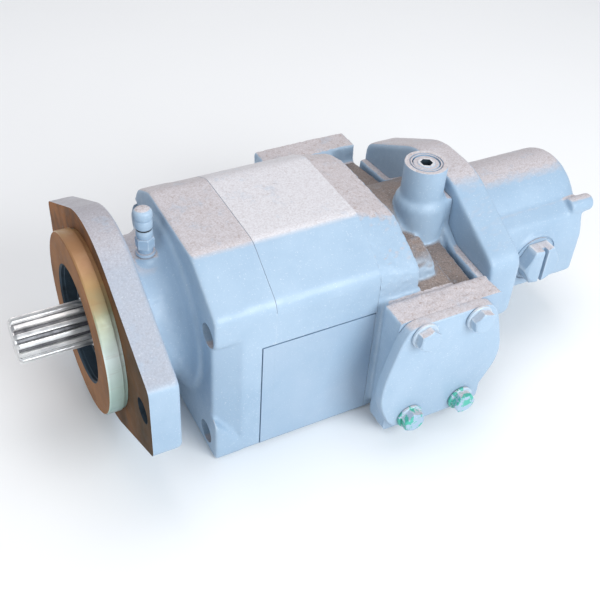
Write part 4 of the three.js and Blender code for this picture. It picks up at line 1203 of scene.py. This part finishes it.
@dataclass
class ValveBlock:
    """The port block: shoulder, two wings with port pads, neck and the relief boss.

    Attributes:
        start: Joint to the rear housing.
        shoulder: Rear end of the boxed shoulder.
        end: Joint to the rear plate.
        pad: Outer face of a wing.
        port: Centre of the ports along the shaft and in height.
        wing: A wing's rear end, top, bottom and root.
        boss: Centre of the relief boss, along the shaft and across it.
        boss_top: Height of the boss.
    """

    start: float = high("rear_housing").x + 0.3
    shoulder: float = 200
    end: float = high("valve_block").x
    pad: float = high("valve_block").y
    port: tuple[float, float] = PORT_CENTRE
    wing: tuple[float, float, float, float] = (250, 26, -78, 92)
    boss: tuple[float, float] = BOSS_CENTRE
    boss_top: float = high("valve_block").z

    def wing_shells(self, side: int) -> list[Shell]:
        """A wing's pad and the sloping root behind it."""
        back, top, bottom, root = self.wing
        pad = arc_corners([(side * (root - 2), bottom), (side * (self.pad + 3), bottom),
                           (side * (self.pad + 3), top), (side * (root - 2), top)], 3)
        slope = arc_corners([(side * 20, -60), (side * (root + 1), bottom + 4), (side * (root + 1), top - 4),
                             (side * 20, top + 4)], 4)
        return [pushed(pad, self.start - 0.1, back, edge=1.5), pushed(slope, self.start + 4, 228, edge=3)]

    def build(self) -> None:
        """Makes the casting."""
        x, y = self.boss
        web = arc_corners([(-86, -20), (-30, -44), (30, -44), (86, -20), (86, 14), (48, 17), (30, 30),
                           (-30, 30), (-48, 17), (-86, 14)], 3)
        tab = arc_corners([(-76, 8), (-76, 30), (-67, 37), (-50, 42), (-50, 8)], 3)
        floors = [arc_corners([(side * 12, -50), (side * 93, -50), (side * 93, 11), (side * 12, 22)], 3)
                  for side in (-1, 1)]
        shells = [
            lofted(BODY.corners(), self.start - 4, BODY.corners(11), self.shoulder),
            *self.wing_shells(-1),
            *self.wing_shells(1),
            rod(42, self.shoulder - 2, self.end + 3),
            pushed(web, self.end - 5.5, self.end + 3, edge=1, far_edge=0),
            pushed(tab, self.shoulder - 3, self.shoulder + 19, edge=1.5),
            *[pushed(f, 224, 249) for f in floors],
            rod(15.5, 10, self.boss_top + 3, Axis.Z, (x, y)),
            turned([(10, 0), (10, 19), (46, 19), (50, 17.6), (51, 15), (51, 0)], Axis.Z, (x, y)),
            block((x, self.end + 3), (y - 13, y + 13), (-10, 49)),
        ]
        ports = [(self.port[0] + a * PORT_SCREWS[0], self.port[1] + b * PORT_SCREWS[1])
                 for a in (-1, 1) for b in (-1, 1)]
        cutters = [
            block((self.start - 12, self.start), (-130, 130), (-100, 100)),
            block((self.end, self.end + 12), (-130, 130), (-100, 100)),
            *[block((150, 270), sorted((side * self.pad, side * (self.pad + 12))), (-100, 60))
              for side in (-1, 1)],
            block((x - 20, x + 20), (y - 20, y + 20), (self.boss_top, self.boss_top + 12)),
            rod(PORT_RADIUS, 36, self.pad + 1, Axis.Y, (self.port[1], self.port[0]), 96),
            rod(PORT_RADIUS, -self.pad - 1, -36, Axis.Y, (self.port[1], self.port[0]), 96),
            rod(25, self.start - 2, 186, columns=96),
            rod(SMALL_BORE, 180, self.end + 1, columns=72),
            rod(10.2, self.boss_top - 12, self.boss_top + 1, Axis.Z, (x, y), 64),
            rod(7, 25, self.boss_top - 6, Axis.Z, (x, y), 48),
            turned([(self.boss_top - 0.8, 11.3), (self.boss_top - 0.8, 12.1), (self.boss_top + 1, 12.3),
                    (self.boss_top + 1, 11.1)], Axis.Z, (x, y), 96),
            *[rod(5.2, side * self.pad - 20, side * self.pad + 20, Axis.Y, (z, px), 32)
              for side in (-1, 1) for px, z in ports],
            *body_cuts(self.start - 2, 188),
        ]
        body = Casting("valve_block_casting", 1.4, 5, 0.2, block_roughness, 31).pour(shells, cutters)
        dress(body, Finish.ROUGH_PAINT, Finish.BORE_SHADE, Finish.POCKET_SHADE, Finish.FLAT_PAINT)
        flat = machined(body.data)
        repaint(body, 3, lambda c, n: flat & (np.abs(n[:, 1]) > 0.9))
        # The pocket behind the shoulder takes the pocket paint: painted shade with brown grime.
        repaint(body, 2, lambda c, n: (c[:, 0] > self.shoulder + 1) & (c[:, 0] < self.end - 5.5)
                & (np.abs(c[:, 1]) < 86) & (c[:, 2] < 44) & (np.hypot(c[:, 0] - x, c[:, 1] - y) > 19.6))
        # The port bores take the near-black bore finish as painted shade.
        repaint(body, 1, lambda c, n: (np.hypot(c[:, 0] - self.port[0], c[:, 2] - self.port[1]) < 20.2)
                & (np.abs(c[:, 1]) < self.pad - 1))
        fit_out(body, Body.HOUSING, "paint", "valve_block")


def block_roughness(points: Points) -> Points:
    """Roughest on the wings' tops and the shoulder behind the joint, smoother on the boss."""
    top_of_wing = (np.abs(points[:, 1]) > 70) & (points[:, 2] > 15)
    shoulder = (points[:, 2] > 45) & (points[:, 0] < 202)
    boss = np.hypot(points[:, 0] - BOSS_CENTRE[0], points[:, 1] - BOSS_CENTRE[1]) < 19
    return np.where(top_of_wing, 2.4, np.where(boss, 0.35, np.where(shoulder, 1.6, 1.0)))


@dataclass
class RearPlate:
    """The plate between the valve block and the charge pump.

    Attributes:
        start: Its front face.
        end: Its rear face.
        half: Half its width.
        top: Height of its flat top.
    """

    start: float = low("rear_plate").x
    end: float = high("rear_plate").x
    half: float = high("rear_plate").y
    top: float = high("rear_plate").z

    def build(self) -> None:
        """Makes the casting: a flat-topped outline with sloping sides."""
        h, t = self.half, self.top
        outline = arc_corners([(-h, -27), (-22, -t), (22, -t), (h, -27),
                               (h, 27), (22, t), (-22, t), (-h, 27)],
                              [9, 14, 14, 9, 9, 14, 14, 9])
        cutters = [rod(SMALL_BORE, self.start - 1, self.end + 1, columns=72)]
        body = Casting("rear_plate_casting", 1.2, 7, 0.1, even, 41).pour(
            [pushed(outline, self.start, self.end, edge=2.5)], cutters)
        dress(body, Finish.PAINT)
        fit_out(body, Body.HOUSING, "paint", "rear_plate")


@dataclass
class ChargePump:
    """The gerotor charge pump's housing and its relief plug.

    Attributes:
        start: Its joint to the rear plate.
        end: Its rear face.
        radius: Radius of the barrel.
        plug: Centre of the relief plug.
        plug_face: Where the face round the plug lies across the shaft.
    """

    start: float = low("charge_pump_housing").x
    end: float = 383
    radius: float = 40
    plug: Vector = field(default_factory=lambda: middle("charge_plug"))
    plug_face: float = -52

    def build(self) -> None:
        """Makes the casting and the plug."""
        r, s, e = self.radius, self.start, self.end
        barrel = [(s, 0), (s, r), (e - 8, r), (e - 5, r - 1), (e - 2.5, r - 3), (e - 0.7, r - 6.5),
                  (e, r - 9), (e, 0)]
        side = arc_corners([(-52, -42), (-20, -52), (20, -48), (34, -20), (20, 10), (-34, 22), (-47, 14),
                            (-52, -4)], 4)
        ears = arc_corners([(-66, -10), (-66, 10), (-30, 24), (30, 24), (66, 10), (66, -10), (30, -24),
                            (-30, -24)], 6)
        p = self.plug
        shells = [
            turned(barrel, columns=128),
            pushed(side, s + 12, e - 3, edge=3),
            turned([(self.plug_face - 0.01, 0), (self.plug_face, 21), (self.plug_face + 1, 22), (-20, 22),
                    (-20, 0)], Axis.Y, (p.z, p.x)),
            turned([(e - 16, 0), (e - 16, 7), (e + 5, 7), (e + 6, 6), (e + 6, 0)], Axis.X, (-41, 17), 48),
            pushed(ears, s, s + 11.7, edge=0, far_edge=2),
        ]
        cutters = [
            rod(32.3, s - 1, 322, columns=96),
            rod(14, 320, 336, columns=64),
            rod(8, self.plug_face - 1, -18, Axis.Y, (p.z, p.x), 48),
            turned([(self.plug_face - 0.5, 18.4), (self.plug_face + 0.9, 18.6), (self.plug_face + 0.9, 20.0),
                    (self.plug_face - 0.5, 20.2)], Axis.Y, (p.z, p.x), 128),
            *[rod(5.3, s - 1, s + 13, Axis.X, (sign * 56, 0), 32) for sign in (-1, 1)],
        ]
        body = Casting("charge_pump_casting", 1.15, 7, 0.11, even, 51).pour(shells, cutters)
        dress(body, Finish.PAINT)
        fit_out(body, Body.HOUSING, "paint", "charge_pump_housing")
        self.relief_plug()

    def relief_plug(self) -> None:
        """A hexagon plug with a screwdriver slot across it."""
        p, head = self.plug, self.plug_face - 0.3
        outer = low("charge_plug").y
        plug = to_object("charge_plug_fine", hex_bar(30, outer, head, 1.2, Axis.Y, (p.z, p.x)))
        carve(plug, [block((p.x - 1.8, p.x + 1.8), (outer - 2, outer + 5), (p.z - 22, p.z + 22))])
        collar = to_object("charge_plug_stem", rod(7.6, head - 0.5, -40, Axis.Y, (p.z, p.x), 48))
        for piece in (plug, collar):
            fit_to_housing(piece, 30, Finish.PAINT, "paint", "charge_plug")


@dataclass
class PortCover:
    """The cover over the near port, with its four screws.

    Attributes:
        outer: Its outer face.
        inner: Its face on the port pad.
        centre: Centre of the port, along the shaft and in height.
    """

    outer: float = low("cover_plate").y
    inner: float = high("cover_plate").y
    centre: tuple[float, float] = PORT_CENTRE

    def build(self) -> None:
        """Makes the plate and the screws."""
        rim = [(-30, 47), (30, 47), (38, 40), (44, 22), (49.5, 0), (48, -14), (38, -32), (33, -44),
               (26, -48.5), (-28, -48.5), (-38, -42), (-47, -20), (-47.5, -4), (-44, 12), (-37, 38)]
        x, z = self.centre
        outline = arc_corners([(z + b, x + a) for a, b in rim], 8, 6)
        plate = to_object("cover_plate_fine", pushed(outline, self.outer, self.inner, Axis.Y, 1.4, 0.3))
        fit_to_housing(plate, 30, Finish.PAINT, "paint", "cover_plate")
        for number in range(1, 5):
            self.screw(number)

    def screw(self, number: int) -> None:
        """A hexagon-head screw with a flat washer, dabbed with marker paint on the lower two."""
        node = f"cover_bolt_{number}"
        place, tip = middle(node), low(node).y
        across = (place.z, place.x)
        under = self.outer - 0.3
        turn = 0.35 * number
        washer = turned([(under, 5.2), (under, 9.4), (under - 0.3, 9.8), (under - 1.6, 9.8),
                         (under - 2.2, 9.2), (under - 2.2, 5.2)], Axis.Y, across, 64)
        head = hex_bar(15, tip + 1.2, under - 2.3, 0.7, Axis.Y, (0, 0))
        c, s = math.cos(turn), math.sin(turn)
        spin = np.array([[c, -s], [s, c]])
        head.points[:, [2, 0]] = head.points[:, [2, 0]] @ spin.T + np.array(across)
        shank = rod(5, under - 2.4, -95, Axis.Y, across, 32)
        screw = to_object(f"cover_screw_{number}", Shell.joined([washer, head, shank]))
        finish = Finish.DABBED if place.z < self.centre[1] else Finish.PAINT
        fit_to_housing(screw, 30, finish, "paint", node)


@dataclass
class Shaft:
    """The drive shaft with its splined end.

    Attributes:
        teeth: Number of splines.
        tip: Radius over the teeth.
        root: Radius between the teeth.
        start: Front end.
        end: Rear end.
        spline_end: Where the teeth run out.
    """

    teeth: int = 14
    tip: float = 15.61
    root: float = 13.2
    start: float = low("drive_shaft").x
    end: float = high("drive_shaft").x
    spline_end: float = -7

    def build(self) -> None:
        """Makes the shaft: its radius at angle a and place x is the turned profile, cut by the tooth shape.

        The tooth shape swings between root and tip as a squared-off cosine of the tooth angle.
        """
        turned_profile = np.array([
            (self.start, 0), (self.start, 4.2), (self.start, 13.6), (self.start + 0.8, 14.7),
            (self.start + 1.9, self.tip), (self.start + 3, self.tip), (-30, self.tip),
            (self.spline_end, self.tip), (self.spline_end + 0.2, 16.7), (self.spline_end + 1, 17.5),
            (0, 17.5), (42, 17.5), (42.2, 20.5),
            (46, 20.5), (46.2, 16), (158.6, 16), (158.8, 14), (189, 14), (189.2, 12), (292, 12), (292.2, 10),
            (self.end, 10), (self.end, 0)])
        columns = self.teeth * 30
        angle = np.linspace(0, 2 * np.pi, columns, endpoint=False)
        swing = 0.5 + 0.5 * np.tanh(4.2 * (np.cos(self.teeth * angle) + 0.12))
        along = turned_profile[:, :1]
        cut = self.root + (self.tip - self.root) * swing[None]
        limit = np.where(along < self.spline_end + 0.1, cut, 99)
        radius = np.minimum(turned_profile[:, 1:], limit)
        points = Axis.X.place(np.repeat(along, columns, 1), radius * np.cos(angle), radius * np.sin(angle))
        shaft = to_object("drive_shaft_fine", Shell(points, quads(len(turned_profile), columns, False)))
        centre = turned([(self.start - 1, 0), (self.start - 1, 4.4), (self.start + 4, 0.4),
                         (self.start + 8, 0.4), (self.start + 8, 0)], columns=48)
        flats = [block((self.end - 27, self.end + 1), (-12, 12), z) for z in ((7.5, 12), (-12, -7.5))]
        carve(shaft, [centre, *flats])
        shade(shaft, 28)
        dress(shaft, Finish.STEEL, Finish.DARK_STEEL)
        valley = self.root + 0.75
        repaint(shaft, 1, lambda c, n: (c[:, 0] > self.start + 1) & (c[:, 0] < self.spline_end - 3)
                & (np.hypot(c[:, 1], c[:, 2]) < valley))
        fit_out(shaft, Body.ROTOR, "bright_steel", "drive_shaft")


@dataclass
class SealFace:
    """What shows at the bottom of the pilot's bore: the seal carrier and the lip seal."""

    def build(self) -> None:
        """Makes both rings."""
        outer = high("seal_carrier").y
        inner = 24.0
        front, back = low("seal_carrier").x, high("seal_carrier").x
        carrier = to_object("seal_carrier_fine", turned(
            [(front, inner), (front, inner + 2), (front + 0.8, inner + 3), (front + 2.4, inner + 4.2),
             (front + 2.6, inner + 5), (front + 2.6, outer - 0.6), (front + 3.2, outer), (back, outer),
             (back, inner)], columns=128))
        # The seal carrier takes the near-black bore finish: painted shade at the bottom of the pilot's bore.
        fit_to_housing(carrier, 25, Finish.BORE_SHADE, "dark_steel", "seal_carrier")
        x = low("shaft_seal").x
        seal = to_object("shaft_seal_fine", turned(
            [(x, 18.2), (x, 20), (x + 0.5, 20.6), (x + 1.2, 20.9), (x + 0.4, 21.4), (x, 22.2), (x, 23.7),
             (x + 3.2, 23.7), (x + 3.2, 20.5), (x + 4.4, 19.6), (x + 4.8, 19), (x + 4.8, 17.8),
             (x + 2.5, 17.9)],
            columns=128))
        fit_to_housing(seal, 40, Finish.RUBBER, "rubber", "shaft_seal")


@dataclass
class Fittings:
    """The vent fitting on the neck, the plug in the boss and the four long screws.

    Attributes:
        vent: Centre of the vent fitting.
        boss: Centre of the boss's plug.
    """

    vent: Vector = field(default_factory=lambda: middle("vent_cap"))
    boss: Vector = field(default_factory=lambda: middle("boss_plug"))

    def build(self) -> None:
        """Makes the fittings."""
        across = (self.vent.x, self.vent.y)
        adapter = Shell.joined([
            turned([(51.3, 0), (51.3, 6), (51.8, 6.4), (52.8, 6.4), (53.5, 6), (53.8, 5), (57.8, 5),
                    (57.8, 0)], Axis.Z, across, 64),
            hex_bar(11, 64.8, 57.3, 0.4, Axis.Z, across),
            turned([(64.3, 0), (64.3, 4.6), (65, 5.1), (66, 5.4), (69.4, 5.4), (70.3, 5), (70.8, 4.3),
                    (70.8, 3.4), (71.6, 3.4), (71.6, 0)], Axis.Z, across, 64),
            rod(2.5, 41.5, 52, Axis.Z, across, 32),
        ])
        base = to_object("vent_adapter_fine", adapter)
        cap_profile = [(71.9, 0), (71.9, 4.8), (72.3, 5.4), (73, 5.7), (77, 5.7), (77.8, 5.3), (78.4, 5.0),
                       (79, 5.2), (79.6, 5.8), (80.4, 6), (83.4, 6), (84.5, 5.7), (85.4, 5.0), (86, 3.8),
                       (86.3, 2), (86.3, 0)]
        cap = to_object("vent_cap_fine", turned(cap_profile, Axis.Z, across, 72))
        band_profile = [(70.9, 3.5), (70.9, 4.9), (71.2, 5.2), (71.6, 5.1), (71.85, 4.7), (71.85, 3.5)]
        band = to_object("vent_band", turned(band_profile, Axis.Z, across, 64))
        for piece, finish, slot, node in ((base, Finish.PAINT, "paint", "vent_adapter"),
                                          (cap, Finish.PAINT, "paint", "vent_cap"),
                                          (band, Finish.RUBBER, "rubber", "vent_cap")):
            fit_to_housing(piece, 30, finish, slot, node)
        self.plug()
        for number in range(1, 5):
            self.long_screw(number)

    def plug(self) -> None:
        """The boss's plug: a chamfered disc with a hexagon socket and a ring groove."""
        top, across = high("boss_plug").z, (self.boss.x, self.boss.y)
        disc = to_object("boss_plug_fine", turned(
            [(top - 11, 0), (top - 11, 9.6), (top - 1.3, 9.6), (top - 0.7, 9.3), (top - 0.4, 8.8),
             (top - 0.4, 6.4), (top, 6), (top, 0)], Axis.Z, across, 96))
        socket = hexagon(8, 4) + np.array(across)
        carve(disc, [pushed(socket, top - 7, top + 1, Axis.Z)])
        shade(disc, 30)
        dress(disc, Finish.PAINT, Finish.BORE_SHADE)
        # The socket takes the near-black bore finish as painted shade.
        repaint(disc, 1, lambda c, n: (np.hypot(c[:, 0] - across[0], c[:, 1] - across[1]) < 4.7)
                & (c[:, 2] < top - 0.1))
        fit_out(disc, Body.HOUSING, "bright_steel", "boss_plug")

    def long_screw(self, number: int) -> None:
        """A socket-head screw: a head with an eased rim and a socket, and a shank."""
        node = f"housing_bolt_{number}"
        place, head, tip = middle(node), low(node).x, high(node).x
        across = (place.y, place.z)
        screw = to_object(f"long_screw_{number}", turned(
            [(head, 0), (head, 7.2), (head + 0.8, 8), (head + 10, 8), (head + 10, 5), (tip - 1, 5), (tip, 4),
             (tip, 0)], Axis.X, across, 48))
        carve(screw, [pushed(hexagon(8, 4) + np.array(across), head - 1, head + 6)])
        fit_to_housing(screw, 30, Finish.DARK_STEEL, "dark_steel", node)


# ---- what stays as the CAD made it ----
SLOT_FINISH = {
    "paint": Finish.PAINT,
    "bright_steel": Finish.STEEL,
    "dark_steel": Finish.DARK_STEEL,
    "bronze": Finish.BRONZE,
    "rubber": Finish.RUBBER,
    "raw_iron": Finish.IRON,
}


def dress_cad_nodes() -> None:
    """Gives every CAD node the finish of its material slot."""
    for part in frame["record"]["subparts"]:
        dress(frame["nodes"][part["node"]], SLOT_FINISH[part["material_slot"]])


# ---- the studio ----
@dataclass
class Studio:
    """A pale floor, soft lights and the camera.

    Attributes:
        camera_place: Where the camera stands, in metres.
        right: The picture's right, as a direction.
        up: The picture's up, as a direction.
        lens: Focal length in millimetres on a 36 mm wide picture.
    """

    camera_place: Colour = (-0.1037, -0.4531, 0.4177)
    right: Colour = (0.8884, -0.4560, 0.0535)
    up: Colour = (0.2650, 0.6043, 0.7514)
    lens: float = 54.4

    def camera(self) -> None:
        """Sets up the camera from its place and two directions."""
        data = bpy.data.cameras.new("camera")
        data.lens = self.lens
        data.sensor_width = 36
        data.clip_start = 0.01
        made = bpy.data.objects.new("camera", data)
        x = Vector(self.right).normalized()
        z = x.cross(Vector(self.up)).normalized()
        y = z.cross(x)
        turn = Matrix((x, y, z)).transposed().to_4x4()
        made.matrix_world = Matrix.Translation(self.camera_place) @ turn
        bpy.context.scene.collection.objects.link(made)
        bpy.context.scene.camera = made

    def light(self, name: str, place: Colour, size: float, power: float, colour: Colour) -> None:
        """A square soft light that looks at the pump's middle.

        Args:
            name: Its name.
            place: Where it stands, in metres.
            size: Its side.
            power: Its power in watts.
            colour: Its colour.
        """
        data = bpy.data.lights.new(name, "AREA")
        data.size = size
        data.energy = power
        data.color = colour
        made = bpy.data.objects.new(name, data)
        made.location = place
        middle_of_pump = (CAD_BOX[0] + CAD_BOX[1]) / 2
        made.rotation_mode = "QUATERNION"
        made.rotation_quaternion = (middle_of_pump - Vector(place)).to_track_quat("-Z", "Y")
        bpy.context.scene.collection.objects.link(made)

    def floor(self) -> None:
        """A wide pale floor just under the pump."""
        depth = CAD_BOX[0].z / MM - 0.3
        floor = to_object("floor", block((-3000, 3400), (-3000, 3400), (depth - 20, depth)))
        floor.data.materials.append(Matt("pale_floor", (0.88, 0.88, 0.88), 0.9, 0.02, 3).make())

    def build(self) -> None:
        """Sets everything up."""
        self.camera()
        self.floor()
        world = bpy.data.worlds.new("studio")
        world.use_nodes = True
        sky = world.node_tree.nodes["Background"]
        sky.inputs["Color"].default_value = (0.90, 0.94, 1.0, 1)
        sky.inputs["Strength"].default_value = 0.52
        bpy.context.scene.world = world
        self.light("near_light", (0.55, -1.3, 0.75), 0.9, 20, (0.92, 0.97, 1.0))
        self.light("top_light", (0.25, 0.35, 1.35), 1.0, 8, (1.0, 0.95, 0.93))
        self.light("front_light", (-0.9, -0.55, 0.8), 0.8, 3.2, (0.92, 0.97, 1.0))


def main() -> None:
    """Builds the pump's looks in order, then the studio."""
    logging.basicConfig(level=logging.INFO, format="%(name)s: %(message)s")
    bpy.context.scene.view_settings.view_transform = "Standard"
    dress_cad_nodes()
    for assembly in (FrontHousing(), RearHousing(), ValveBlock(), RearPlate(), ChargePump(), PortCover(),
                     Shaft(), SealFace(), Fittings(), Studio()):
        assembly.build()


if __name__ == "__main__":
    main()
